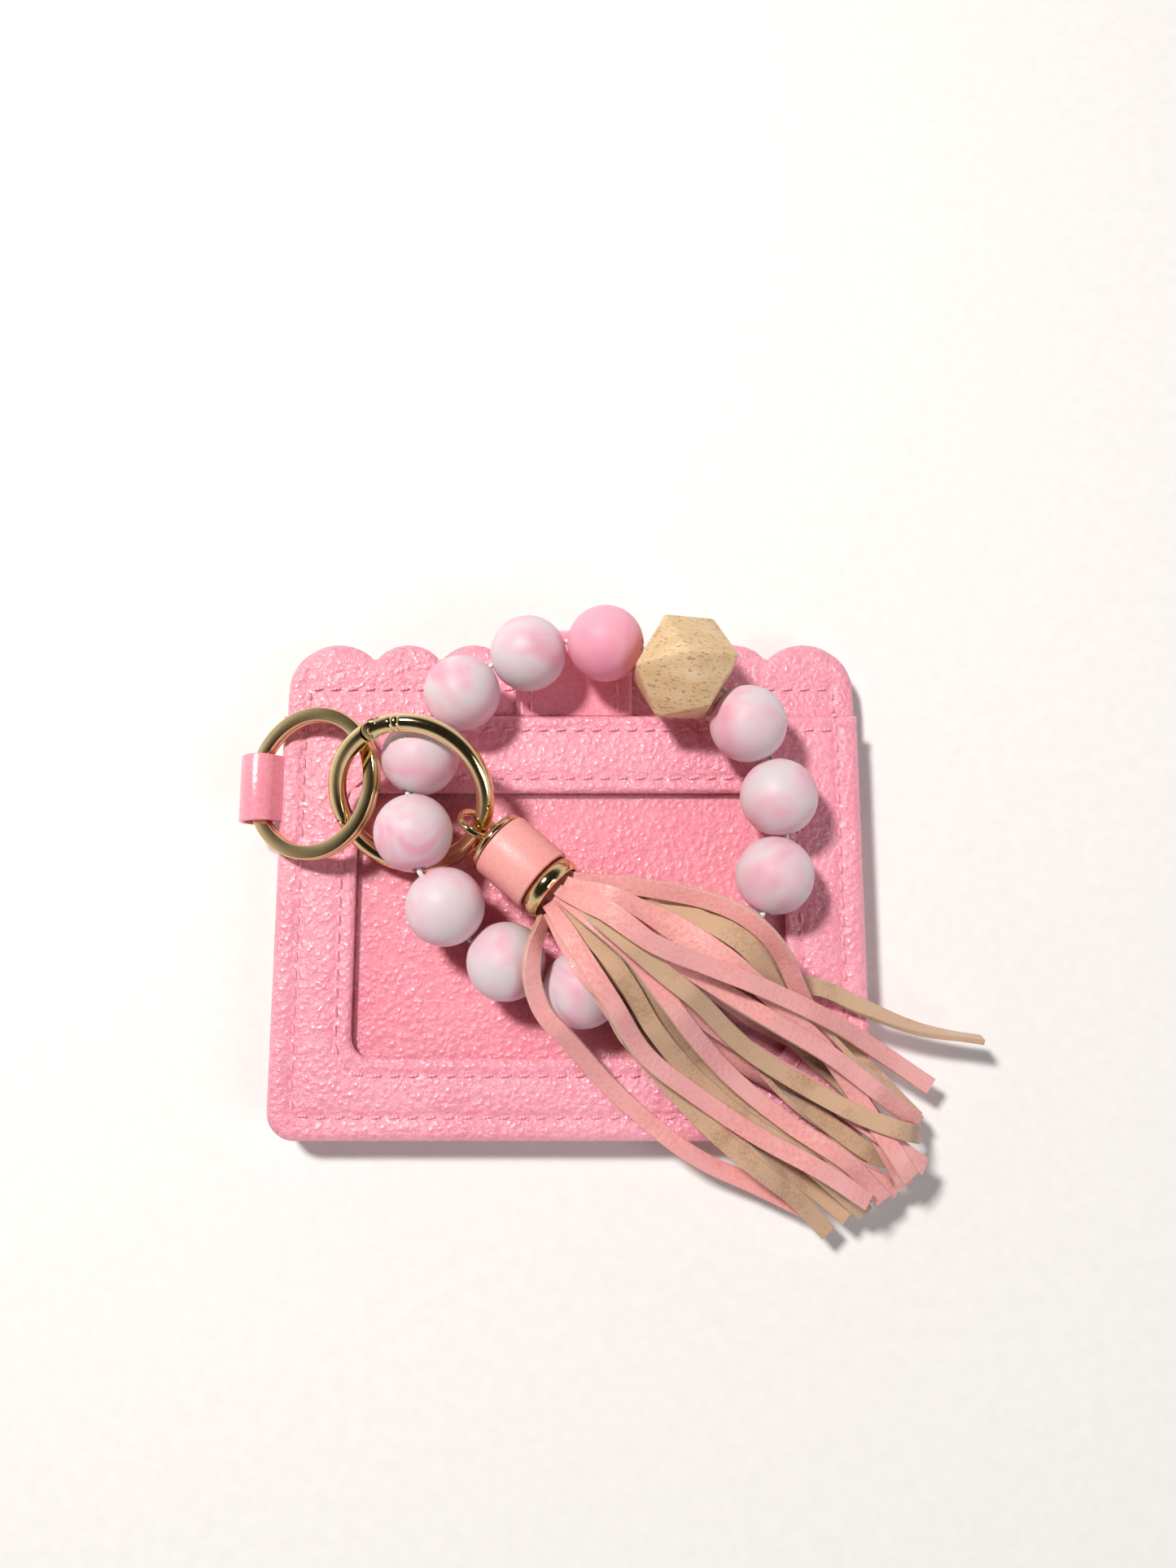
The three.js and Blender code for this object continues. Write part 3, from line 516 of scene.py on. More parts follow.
def smooth_path(points, steps):
    """Evenly spaced points on a curve through the given points."""
    points = np.asarray(points, float)
    padded = np.vstack([2 * points[0] - points[1], points, 2 * points[-1] - points[-2]])
    fine = []
    for i in range(len(points) - 1):
        a, b, c, d = padded[i : i + 4]
        for t in np.linspace(0, 1, 16, endpoint=False):
            square = (2 * a - 5 * b + 4 * c - d) * t**2
            cube = (3 * b - a - 3 * c + d) * t**3
            fine.append(0.5 * (2 * b + (c - a) * t + square + cube))
    fine.append(points[-1])
    return spaced(fine, steps)


def spaced(points, steps):
    """Points at equal distances along a line of points."""
    points = np.asarray(points, float)
    walked = np.concatenate([[0], np.cumsum(np.linalg.norm(np.diff(points, axis=0), axis=1))])
    wanted = np.linspace(0, walked[-1], steps)
    return np.stack([np.interp(wanted, walked, points[:, k]) for k in range(points.shape[1])], 1)


# ---- Wallet panels ----
wallet_low, wallet_high = span_of("front_panel")
pocket_low, pocket_high = span_of("window_pocket")
back_low, back_high = span_of("back_panel")
back_pocket_high = span_of("back_pocket")[1]
HALF_WIDTH = wallet_high.x
TOP_Y = wallet_high.y
BOTTOM_Y = wallet_low.y
CORNER = 5.5
SCALLOPS = 8
SCALLOP_DEPTH = 3.5
CORNER_LOBE = 17.5  # width of the scallop at each corner
SEAM = 4.4  # the stitching runs this far inside the edge
WINDOW = (84.0, 51.6, 4.5)
WINDOW_Y = BOTTOM_Y + 15.1 + WINDOW[1] / 2


def bow(cx, cy, radius, start, end, steps):
    turns = np.linspace(start, end, steps + 1)
    return [(cx + radius * math.cos(a), cy + radius * math.sin(a)) for a in turns]


def lower_corners(radius=CORNER, inset=0.0):
    x, y = HALF_WIDTH - inset, BOTTOM_Y + inset
    return bow(-x + radius, y + radius, radius, math.pi, 1.5 * math.pi, 10) + bow(
        x - radius, y + radius, radius, -0.5 * math.pi, 0, 10
    )


def scalloped():
    """The panels' outline: rounded lower corners and a row of lobes along the top."""
    corner = CORNER_LOBE + SCALLOP_DEPTH - math.sqrt(2 * CORNER_LOBE * SCALLOP_DEPTH)
    pitch = (2 * HALF_WIDTH - 2 * CORNER_LOBE) / (SCALLOPS - 2)
    lobe = pitch**2 / (8 * SCALLOP_DEPTH) + SCALLOP_DEPTH / 2
    valley = math.atan2(lobe - SCALLOP_DEPTH, pitch / 2)
    corner_valley = math.atan2(corner - SCALLOP_DEPTH, CORNER_LOBE - corner)
    points = lower_corners()
    points += bow(HALF_WIDTH - corner, TOP_Y - corner, corner, 0, math.pi - corner_valley, 18)
    for i in range(SCALLOPS - 2, 0, -1):
        x = -HALF_WIDTH + CORNER_LOBE + (i - 0.5) * pitch
        points += bow(x, TOP_Y - lobe, lobe, valley, math.pi - valley, 14)[1:]
    points += bow(-HALF_WIDTH + corner, TOP_Y - corner, corner, corner_valley, math.pi, 18)[1:]
    return np.array(points)


def pocket_outline(mouth):
    return np.array(lower_corners() + [(HALF_WIDTH, mouth), (-HALF_WIDTH, mouth)])


def window_outline(margin):
    width, height, radius = WINDOW
    x, y, r = width / 2 + margin, height / 2 + margin, radius + margin / 2
    corners = [(x - r, -y + r, -0.5), (x - r, y - r, 0), (-x + r, y - r, 0.5), (-x + r, -y + r, 1)]
    points = []
    for cx, cy, turn in corners:
        points += bow(cx, WINDOW_Y + cy, r, turn * math.pi, (turn + 0.5) * math.pi, 8)
    return np.array(points)


def edge_distance(points, loops):
    """How far inside the first loop and outside the others each point is, and its nearest edge."""
    best = np.full(len(points), np.inf)
    nearest = np.array(points)
    inside = np.ones(len(points), bool)
    for number, loop in enumerate(loops):
        a, b = loop, np.roll(loop, -1, axis=0)
        crossings = np.zeros(len(points), int)
        for p, q in zip(a, b):
            edge = q - p
            t = np.clip(((points - p) @ edge) / max(edge @ edge, 1e-12), 0, 1)
            foot = p + t[:, None] * edge
            gap = np.linalg.norm(points - foot, axis=1)
            closer = gap < best
            best[closer] = gap[closer]
            nearest[closer] = foot[closer]
            if p[1] != q[1]:
                spans = (points[:, 1] < p[1]) != (points[:, 1] < q[1])
                crossings += spans & (points[:, 0] < p[0] + (points[:, 1] - p[1]) * edge[0] / edge[1])
        within = crossings % 2 == 1
        inside &= within if number == 0 else ~within
    return np.where(inside, best, -best), nearest


def panel(name, loops, upper, lower, material, slot, node, pitch=0.75):
    """A leather panel cut to the first loop, with holes for the others. upper and lower give its
    faces' heights from (x, y, distance to the edge)."""
    outline = loops[0]
    low, high = outline.min(0) - pitch, outline.max(0) + pitch
    nx, ny = (np.ceil((high - low) / pitch)).astype(int) + 1
    xs = np.linspace(low[0], high[0], nx)
    ys = np.linspace(low[1], high[1], ny)
    grid = np.stack(np.meshgrid(xs, ys, indexing="ij"), -1).reshape(-1, 2)
    depth, nearest = edge_distance(grid, loops)
    kept = (depth > -0.55 * pitch).reshape(nx, ny)
    cells = kept[:-1, :-1] & kept[1:, :-1] & kept[1:, 1:] & kept[:-1, 1:]
    uses = {}
    quads = []
    for i, k in zip(*np.nonzero(cells)):
        quad = (i * ny + k, (i + 1) * ny + k, (i + 1) * ny + k + 1, i * ny + k + 1)
        quads.append(quad)
        for a, b in zip(quad, quad[1:] + quad[:1]):
            uses[(a, b)] = True
    rim = [(a, b) for a, b in uses if (b, a) not in uses]
    for a, _ in rim:
        grid[a] = nearest[a]
        depth[a] = 0
    depth = np.maximum(depth, 0)
    used = sorted({v for quad in quads for v in quad})
    place = {v: n for n, v in enumerate(used)}
    flat, inner = grid[used], depth[used]
    tops = np.column_stack([flat, upper(flat[:, 0], flat[:, 1], inner)])
    bottoms = np.column_stack([flat, lower(flat[:, 0], flat[:, 1], inner)])
    count = len(used)
    faces = [tuple(place[v] for v in quad) for quad in quads]
    faces += [tuple(count + place[v] for v in quad[::-1]) for quad in quads]
    faces += [(place[b], place[a], count + place[a], count + place[b]) for a, b in rim]
    return make(name, np.vstack([tops, bottoms]), faces, [material], "wallet", slot, [node], sharp=55)


def rolled(depth, radius):
    """How far a rolled edge drops below the face, at a distance from the edge."""
    inward = np.clip(depth / radius, 0, 1)
    return radius * (1 - np.sqrt(np.clip(1 - (1 - inward) ** 2, 0, 1)))


def seam_furrow(distance, depth=0.3, width=0.7):
    """The furrow that a row of stitches pulls into the leather."""
    return depth * np.exp(-((distance / width) ** 2))


def sewn(x, y, mouth):
    """1 on the sewn sides and bottom, 0 in the middle and along the open mouth."""
    side = np.minimum(HALF_WIDTH - np.abs(x), y - BOTTOM_Y)
    share = np.clip((7.5 - side) / 4.5, 0, 1)
    return share * share * (3 - 2 * share) * np.clip((mouth - y) / 1.5, 0, 1)


def sides_and_bottom(x, y, radius=CORNER):
    """Distance to the wallet's sides and bottom edge, going round the lower corners."""
    dx, dy = HALF_WIDTH - np.abs(x), y - BOTTOM_Y
    corner = radius - np.hypot(np.maximum(radius - dx, 0), np.maximum(radius - dy, 0))
    return np.where((dx < radius) & (dy < radius), corner, np.minimum(dx, dy))


TOP_SEAM = TOP_Y - 9.4
FRONT_MOUTH = pocket_high.y
BACK_MOUTH = back_pocket_high.y
HEM = 2.9  # the hem is stitched this far below a pocket's mouth
AROUND_WINDOW = 3.0
window_edge = window_outline(0)


def puffed(x, y):
    """The padded roll outside the perimeter stitching."""
    edge = sides_and_bottom(x, y)
    roll = 0.22 * np.sin(np.clip(edge / SEAM, 0, 1) * math.pi)
    return roll - seam_furrow(edge - SEAM, 0.42)


# The faces below give a height in millimetres at each place, which lies depth in from an edge.
def front_upper(x, y, depth):
    heights = wallet_high.z + 0.05 - rolled(depth, 0.6)
    lobes = np.clip((y - TOP_SEAM) / 5, 0, 1) * 0.25 * np.sin(np.clip(depth / 6, 0, 1) * math.pi)
    return heights + lobes * 0.8 + puffed(x, y) * 0.6 - seam_furrow(y - TOP_SEAM, 0.3)


def front_lower(x, y, depth):
    flat = wallet_low.z + rolled(depth, 0.4)
    return flat - sewn(x, y, TOP_SEAM) * (wallet_low.z - back_high.z - 0.05)


def back_upper(x, y, depth):
    return back_high.z - rolled(depth, 0.4)


def back_lower(x, y, depth):
    heights = back_low.z + rolled(depth, 0.6) + seam_furrow(y - TOP_SEAM, 0.3)
    return heights - puffed(x, y) * 0.5


def pocket_upper(x, y, depth):
    top = pocket_high.z - 0.04 - rolled(depth, 0.6)
    points = np.column_stack([x, y])
    from_window = -edge_distance(points, [window_edge])[0]
    hem = seam_furrow(y - (FRONT_MOUTH - HEM), 0.3)
    swell = 0.12 * np.sin(np.clip((FRONT_MOUTH - y) / HEM, 0, 1) * math.pi)
    off_window = np.clip((from_window - AROUND_WINDOW) / 6, 0, 1)
    off_seam = np.clip((sides_and_bottom(x, y) - SEAM) / 5, 0, 1)
    cushion = 0.15 * np.sin(off_window * off_seam * math.pi / 2)
    furrow = seam_furrow(from_window - AROUND_WINDOW, 0.38)
    return top + puffed(x, y) - hem + swell - furrow + cushion


def pocket_lower(x, y, depth):
    flat = pocket_low.z + rolled(depth, 0.3)
    return flat - sewn(x, y, FRONT_MOUTH) * (pocket_low.z - wallet_high.z - 0.05)


def back_pocket_upper(x, y, depth):
    flat = back_pocket_high.z - rolled(depth, 0.3)
    return flat + sewn(x, y, BACK_MOUTH) * (back_low.z - back_pocket_high.z - 0.05)


def back_pocket_lower(x, y, depth):
    hem = seam_furrow(y - (BACK_MOUTH - HEM), 0.3)
    edge = sides_and_bottom(x, y)
    return 0.02 + rolled(depth, 0.6) + seam_furrow(edge - SEAM, 0.3) + hem


def film_waves(x, y, depth):
    top = span_of("window_film")[1].z
    return top + 0.06 * np.sin(x / 9.0) * np.cos(y / 7.0 + 0.6)


def film_under(x, y, depth):
    return film_waves(x, y, depth) - 0.25


panel(
    "wallet_front", [scalloped()], front_upper, front_lower, PEBBLED, "grained_leather", "front_panel"
)
panel("wallet_back", [scalloped()], back_upper, back_lower, PEBBLED, "grained_leather", "back_panel")
panel(
    "window_pocket_leather",
    [pocket_outline(FRONT_MOUTH), window_edge],
    pocket_upper,
    pocket_lower,
    PEBBLED,
    "grained_leather",
    "window_pocket",
)
panel(
    "back_pocket_leather",
    [pocket_outline(BACK_MOUTH)],
    back_pocket_upper,
    back_pocket_lower,
    PEBBLED,
    "grained_leather",
    "back_pocket",
)
panel(
    "window_pane", [window_outline(5.5)], film_waves, film_under, FILM, "clear_film", "window_film", 2.0
)


# ---- Stitching ----
STITCH_PITCH = 3.5
THREAD_RADIUS = 0.34


def height_on(face, x, y, depth=10.0):
    return float(face(np.array([x]), np.array([y]), np.array([depth]))[0])


def stitch_row(line, face, facing=1, closed=False):
    """Stitches along a line, each a short bowed length of thread that dives in at its ends."""
    line = np.asarray(line, float)
    if closed:
        line = np.vstack([line, line[:1]])
    length = np.linalg.norm(np.diff(line, axis=0), axis=1).sum()
    count = max(1, round(length / STITCH_PITCH))
    marks = spaced(line, 12 * count + 1)
    verts, faces = [], []
    section = circle(THREAD_RADIUS, 7)
    for n in range(count):
        a, b = marks[12 * n + 1], marks[12 * n + 10]
        along = (b - a) / np.linalg.norm(b - a)
        across = np.array([-along[1], along[0]])
        stations = []
        for t in np.linspace(-1, 1, 7):
            slant = 0.16 * t
            x, y = (a + b) / 2 + (b - a) / 2 * t + across * slant
            lift = 0.3 * (1 - t * t) - 0.55 * t**6
            z = height_on(face, x, y) + facing * lift
            swell = 0.8 + 0.25 * (1 - t * t)
            stations.append(
                ((x, y, z), np.array([across[0], across[1], 0]) * swell, np.array([0, 0, facing]) * swell)
            )
        more, sides = swept(stations, section)
        faces += [tuple(v + len(verts) for v in side) for side in sides]
        verts += [tuple(v) for v in more]
    return verts, faces


def stitched(name, rows, body, material=THREAD):
    verts, faces = [], []
    for more, sides in rows:
        faces += [tuple(v + len(verts) for v in side) for side in sides]
        verts += more
    return make(name, verts, faces, [material], body, "grained_leather")


def perimeter(from_y):
    """The line of the perimeter seam, down one side, round the bottom and up the other side."""
    x = HALF_WIDTH - SEAM
    return [(-x, from_y)] + lower_corners(CORNER - 2.5, SEAM) + [(x, from_y)]


def straight_seam(y):
    x = HALF_WIDTH - SEAM
    return [(-x, y), (x, y)]


def side_seam_row(x, mouth, face, facing=1):
    """A row up a panel's side, above its pocket's mouth."""
    return stitch_row([(x, mouth + 0.6), (x, TOP_SEAM)], face, facing)


def back_pocket_bed(x, y, depth):
    """Where the back pocket's stitches lie, a little under its face."""
    return back_pocket_lower(x, y, depth) + 0.12


stitched(
    "front_stitching",
    [
        stitch_row(straight_seam(TOP_SEAM), front_upper),
        side_seam_row(-HALF_WIDTH + SEAM, FRONT_MOUTH, front_upper),
        side_seam_row(HALF_WIDTH - SEAM, FRONT_MOUTH, front_upper),
        stitch_row(perimeter(FRONT_MOUTH - 1), pocket_upper),
        stitch_row(straight_seam(FRONT_MOUTH - HEM), pocket_upper),
        stitch_row(window_outline(AROUND_WINDOW), pocket_upper, closed=True),
    ],
    "wallet",
)
stitched(
    "back_stitching",
    [
        stitch_row(straight_seam(TOP_SEAM), back_lower, -1),
        side_seam_row(-HALF_WIDTH + SEAM, BACK_MOUTH, back_lower, -1),
        side_seam_row(HALF_WIDTH - SEAM, BACK_MOUTH, back_lower, -1),
        stitch_row(perimeter(BACK_MOUTH - 1), back_pocket_bed, -1),
        stitch_row(straight_seam(BACK_MOUTH - HEM), back_pocket_bed, -1),
    ],
    "wallet",
)


# ---- Closure strap ----
anchor_low, anchor_high = span_of("strap_anchor")
flap_low, flap_high = span_of("strap_flap")
STRAP_X = (flap_low.x + flap_high.x) / 2
STRAP_HALF = (flap_high.x - flap_low.x) / 2
STRAP_LEATHER = 1.1
STRAP_INSET = 3.0  # the strap is stitched this far inside its edges


def strap_line():
    """The strap's middle line in side view as (y, z), from the pocket's mouth over the top and down
    the back."""
    front_z = (anchor_low.z + anchor_high.z) / 2
    back_z = flap_low.z + 0.6
    radius = (front_z - back_z) / 2
    fold_y, fold_z = flap_high.y - radius - 0.55, (front_z + back_z) / 2
    points = [(FRONT_MOUTH + 0.3, front_z), (FRONT_MOUTH + 6, front_z), (fold_y - 2, front_z)]
    points += bow(fold_y, fold_z, radius, 0.5 * math.pi, -0.5 * math.pi, 14)
    points += [(fold_y - 2, back_z), (TOP_SEAM - 6, back_z), (flap_low.y + 0.2, back_z)]
    return points


def strap_stations():
    """Points, sides and outward directions along the strap, which narrows round at its end."""
    line = spaced(strap_line(), 130)
    stations = []
    for i, (y, z) in enumerate(line):
        ahead = line[min(i + 1, len(line) - 1)] - line[max(i - 1, 0)]
        ahead /= np.linalg.norm(ahead)
        outward = np.array([0, -ahead[1], ahead[0]])
        from_end = 0.0
        if z < 4 and y < flap_low.y + STRAP_HALF:
            from_end = (flap_low.y + STRAP_HALF - y) / STRAP_HALF
        width = STRAP_HALF * math.sqrt(max(1 - from_end**2, 0.002))
        stations.append(((STRAP_X, y, z), width, outward))
    return stations


def build_strap():
    stations = strap_stations()
    across = 29
    half = STRAP_LEATHER / 2
    verts, faces = [], []
    for point, width, outward in stations:
        for face in (1, -1):
            for k in range(across):
                u = -1 + 2 * k / (across - 1)
                x = u * width
                in_from_edge = width - abs(x)
                drop = float(rolled(np.array([in_from_edge]), 0.5)[0])
                furrow = float(seam_furrow(np.array([in_from_edge - STRAP_INSET]), 0.12, 0.6)[0])
                lift = half - min(drop, half * 0.95) - (furrow if face > 0 else 0)
                verts.append(tuple(np.array(point) + np.array([x, 0, 0]) + outward * lift * face))
    row = 2 * across
    for i in range(len(stations) - 1):
        a, b = i * row, (i + 1) * row
        ring = list(range(across)) + list(range(row - 1, across - 1, -1))
        for k in range(row):
            m = (k + 1) % row
            faces.append((a + ring[k], a + ring[m], b + ring[m], b + ring[k]))
    ends = list(range(across)) + list(range(row - 1, across - 1, -1))
    faces.append(tuple(ends))
    faces.append(tuple(v + (len(stations) - 1) * row for v in ends)[::-1])
    nodes = ["strap_anchor", "strap_flap"]
    return make("closure_strap", verts, faces, [SMOOTH], None, "smooth_leather", nodes, sharp=60)


def build_strap_stitching():
    """Stitches along the strap's edges, on its outer face."""
    stations = strap_stations()
    verts, faces = [], []
    line = [np.array(p) + o * (STRAP_LEATHER / 2) for p, _, o in stations]
    rows = []
    for side in (1, -1):
        row = []
        for (_, width, outward), at in zip(stations, line):
            if width < STRAP_INSET + 1.5:
                continue
            row.append((at + np.array([side * (width - STRAP_INSET), 0, 0]), outward))
        rows.append(row)
    joined = rows[0] + rows[1][::-1]
    points = np.array([p for p, _ in joined])
    outs = np.array([o for _, o in joined])
    walked = np.concatenate([[0], np.cumsum(np.linalg.norm(np.diff(points, axis=0), axis=1))])
    count = round(walked[-1] / STITCH_PITCH)
    section = circle(THREAD_RADIUS * 0.75, 7)
    for n in range(count):
        start, end = (n + 0.13) * walked[-1] / count, (n + 0.83) * walked[-1] / count
        stations_here = []
        for t in np.linspace(-1, 1, 7):
            s = (start + end) / 2 + (end - start) / 2 * t
            at = np.array([np.interp(s, walked, points[:, k]) for k in range(3)])
            nearby = np.array([np.interp(s + 0.3, walked, points[:, k]) for k in range(3)])
            out = np.array([np.interp(s, walked, outs[:, k]) for k in range(3)])
            out /= np.linalg.norm(out)
            along = nearby - at
            along /= max(np.linalg.norm(along), 1e-9)
            across = np.cross(out, along)
            swell = 0.8 + 0.25 * (1 - t * t)
            lift = -0.06 + 0.1 * (1 - t * t) - 0.3 * t**6
            stations_here.append((at + out * lift, across * swell, out * swell))
        more, sides = swept(stations_here, section)
        faces += [tuple(v + len(verts) for v in face) for face in sides]
        verts += [tuple(v) for v in more]
    return make("strap_stitching", verts, faces, [THREAD], None, "smooth_leather")


for piece in (build_strap(), build_strap_stitching()):
    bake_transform(piece)

snap_low, snap_high = span_of("snap_cap")
snap_middle = ((snap_low.x + snap_high.x) / 2, (snap_low.y + snap_high.y) / 2, 0)
snap_radius = (snap_high.x - snap_low.x) / 2
cap_profile = [
    (0, 0.2),
    (snap_radius * 0.45, 0.22),
    (snap_radius * 0.62, 0.34),
    (snap_radius * 0.7, 0.26),
    (snap_radius * 0.86, 0.3),
    (snap_radius, 0.55),
    (snap_radius, 0.85),
    (2.4, 0.9),
    (2.4, 2.35),
    (1.7, 2.4),
    (1.7, 1.35),
    (0, 1.3),
]
make(
    "snap_button",
    *turned(eased(cap_profile, 0.25), snap_middle, (0, 0, 1), 48),
    [GOLD],
    "strap",
    "gold",
    ["snap_cap"],
    sharp=50,
)


# ---- Side tab ----
tab_axis = Vector(joint["split_ring_swing"]["pos_m"]) / MM
TAB_LEATHER = 0.8
TAB_BORE = 3.0  # radius of the fold's inside, round the split ring
TAB_RADIUS = TAB_BORE + TAB_LEATHER / 2
tab_low, tab_high = span_of("side_tab")
TAB_HALF = (tab_high.y - tab_low.y) / 2


def build_tab():
    """A strip of leather folded round the split ring, its two ends sewn in together behind the
    pocket; it sits a little askew."""
    start = (tab_high.x, 8.05)
    end = (tab_high.x, 7.55)
    loop = bow(tab_axis.x, tab_axis.z, TAB_RADIUS, math.radians(28), math.radians(332), 30)
    neck_top = (tab_axis.x + 4.4, tab_axis.z - 0.15)
    neck_low = (tab_axis.x + 4.4, tab_axis.z - 1.75)
    upper = [start, (tab_high.x - 3, 8.1), neck_top]
    lower = [neck_low, (tab_high.x - 3, 7.5), end]
    line = smooth_path(upper + loop + lower, 90)
    section = rounded_bar(TAB_HALF, TAB_LEATHER / 2, 0.3, 3)
    stations = []
    for i, (x, z) in enumerate(line):
        ahead = line[min(i + 1, len(line) - 1)] - line[max(i - 1, 0)]
        ahead /= np.linalg.norm(ahead)
        outward = np.array([-ahead[1], 0, ahead[0]])
        skew = 0.09 * (x - tab_high.x)
        narrow = 1.0 - 0.03 * max(0, (x - tab_axis.x) / 9)
        stations.append(((x, tab_axis.y + skew * 0.3, z), np.array([0, 1, 0]) * narrow, outward))
    make(
        "ring_tab", *swept(stations, section), [SMOOTH], "wallet", "smooth_leather", ["side_tab"], sharp=60
    )


build_tab()


# ---- Split ring ----
def build_split_ring():
    """Two turns of flat spring wire pressed together, each end stepping from one turn to the other."""
    centre = middle_of("split_ring")
    lean = (centre - tab_axis).normalized()
    normal = Vector((-lean.z, 0, lean.x))
    sideways = normal.cross(lean)
    mean, half_width, half_coil = 13.6, 1.38, 0.56
    rise = 0.6  # each turn's middle is this far from the ring's middle plane
    step_start, step_length = math.radians(200), math.radians(46)
    tip_edge, tip_length = math.radians(0.6), math.radians(5)  # the wire's ground ends
    section = rounded_bar(half_width, half_coil, 0.3, 3)
    stations = []
    turns = 2 * math.pi
    sweep = 2 * turns - math.radians(6)
    for s in np.linspace(0, sweep, 300):
        angle = step_start + s
        share = np.clip((s - (turns - step_length)) / step_length, 0, 1)
        share = share * share * (3 - 2 * share)
        height = -rise + 2 * rise * share
        outward = lean * math.cos(angle) + sideways * math.sin(angle)
        end = min(1.0, (s + tip_edge) / tip_length, (sweep - s + tip_edge) / tip_length)
        taper = 0.45 + 0.55 * end
        at = centre + outward * mean + normal * height
        stations.append((at, np.array(outward) * (0.8 + 0.2 * end), np.array(normal) * taper))
    coil = swept(stations, section)
    make("split_key_ring", *coil, [GOLD], "split_coil", "gold", ["split_ring"], sharp=40)


build_split_ring()


# ---- Gate ring ----
ring_centre = Vector(joint["bracelet_swing"]["pos_m"]) / MM
ring_normal = Vector(joint["ring_gate_open"]["axis"]).normalized()
hinge_point = Vector(joint["ring_gate_open"]["pos_m"]) / MM
to_hinge = hinge_point - ring_centre
RING_MEAN = to_hinge.length
WIRE = 1.75
HINGE_TURN = math.radians(119)
NOSE_TURN = math.radians(206)
across_ring = Matrix.Rotation(-HINGE_TURN, 3, ring_normal) @ to_hinge.normalized()
up_ring = ring_normal.cross(across_ring)


def ring_out(turn):
    return across_ring * math.cos(turn) + up_ring * math.sin(turn)


def nose_turn(radius, play):
    """How far round the ring the gate's end is, at this radius. The end is cut along an arc about
    the hinge, so that it passes the body's end as the gate opens inward."""
    reach = 2 * RING_MEAN * math.sin((NOSE_TURN - HINGE_TURN) / 2) + play
    cosine = (radius**2 + RING_MEAN**2 - reach**2) / (2 * radius * RING_MEAN)
    return HINGE_TURN + math.acos(cosine)


def ring_wire(start, end, step, radius_at, nose, play):
    """Round wire along the ring between two angles. Its end at nose follows the gate's cut."""
    count = max(2, int(abs(end - start) / math.radians(step)))
    section = circle(1.0, 28)
    verts, faces = swept([((0, 0, 0), (1, 0, 0), (0, 1, 0))] * count, section)
    verts = []
    for turn in np.linspace(start, end, count):
        radius = radius_at(turn)
        near = max(0.0, 1 - abs(turn - nose) / math.radians(14))
        for u, v in section:
            across = RING_MEAN + u * radius
            bend = (nose_turn(across, play) - nose) * near * near * (3 - 2 * near)
            verts.append(tuple(ring_centre + ring_out(turn + bend) * across + ring_normal * v * radius))
    return verts, faces


def plain_and_grooved(turn):
    """The body's wire, with two fine grooves turned in beside the hinge and a rounded nose end."""
    radius = WIRE
    for groove in (HINGE_TURN + math.radians(360 - 16), HINGE_TURN + math.radians(360 - 21)):
        radius -= 0.2 * math.exp(-(((turn - groove) / math.radians(0.7)) ** 2))
    nose = turn - NOSE_TURN
    if nose < math.radians(1.2):
        radius -= 0.2 * (1 - nose / math.radians(1.2)) ** 2
    return radius


def drum(name, radius, half_height, material=GOLD):
    outline = [(0, -half_height), (radius, -half_height), (radius, half_height), (0, half_height)]
    profile = eased(outline, 0.25)
    return loose(name, *turned(profile, hinge_point, ring_normal, 48), [material])


def build_gate_ring():
    body = make(
        "gate_ring_body_wire",
        *ring_wire(NOSE_TURN, HINGE_TURN + 2 * math.pi, 1.0, plain_and_grooved, NOSE_TURN, 0.15),
        [GOLD],
        None,
        "gold",
    )
    carve(body, drum("knuckle", WIRE + 0.1, WIRE * 0.82), "UNION")
    carve(body, drum("slot", WIRE + 1.0, 0.7), "DIFFERENCE")
    settle(body, 40)
    body.name = "gate_ring_wire"
    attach(body, "gate_ring_body")
    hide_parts("gate_ring")
    gate = make(
        "gate_arm_wire",
        *ring_wire(HINGE_TURN + math.radians(1), NOSE_TURN, 1.0, lambda turn: WIRE, NOSE_TURN, -0.15),
        [GOLD],
        None,
        "gold",
    )
    carve(gate, drum("clearance", WIRE + 0.4, 3.0), "DIFFERENCE")
    carve(gate, drum("tongue", WIRE - 0.1, 0.4), "UNION")
    bridge = []
    for turn in np.linspace(HINGE_TURN + math.radians(2), HINGE_TURN + math.radians(12), 6):
        out = ring_out(turn)
        bridge.append((ring_centre + out * RING_MEAN, np.array(out), np.array(ring_normal)))
    carve(gate, loose("bridge", *swept(bridge, rounded_bar(1.45, 0.4, 0.1, 2)), [GOLD]), "UNION")
    settle(gate, 40)
    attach(gate, "gate_arm")
    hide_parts("ring_gate")
    head = WIRE * 0.82 + 0.22
    upper = [(0.5, WIRE * 0.8), (0.8, head - 0.25), (0.5, head), (0, head)]
    rivet = [(radius, -height) for radius, height in reversed(upper)] + upper
    make(
        "gate_rivet",
        *turned(eased(rivet, 0.12), hinge_point, ring_normal, 32),
        [GOLD],
        "gate_ring_body",
        "gold",
        ["gate_pin"],
        sharp=50,
    )


build_gate_ring()


# ---- Beads ----
BEADS = ["bead_%02d" % n for n in range(1, 14)]
BEAD_RADIUS = 7.4


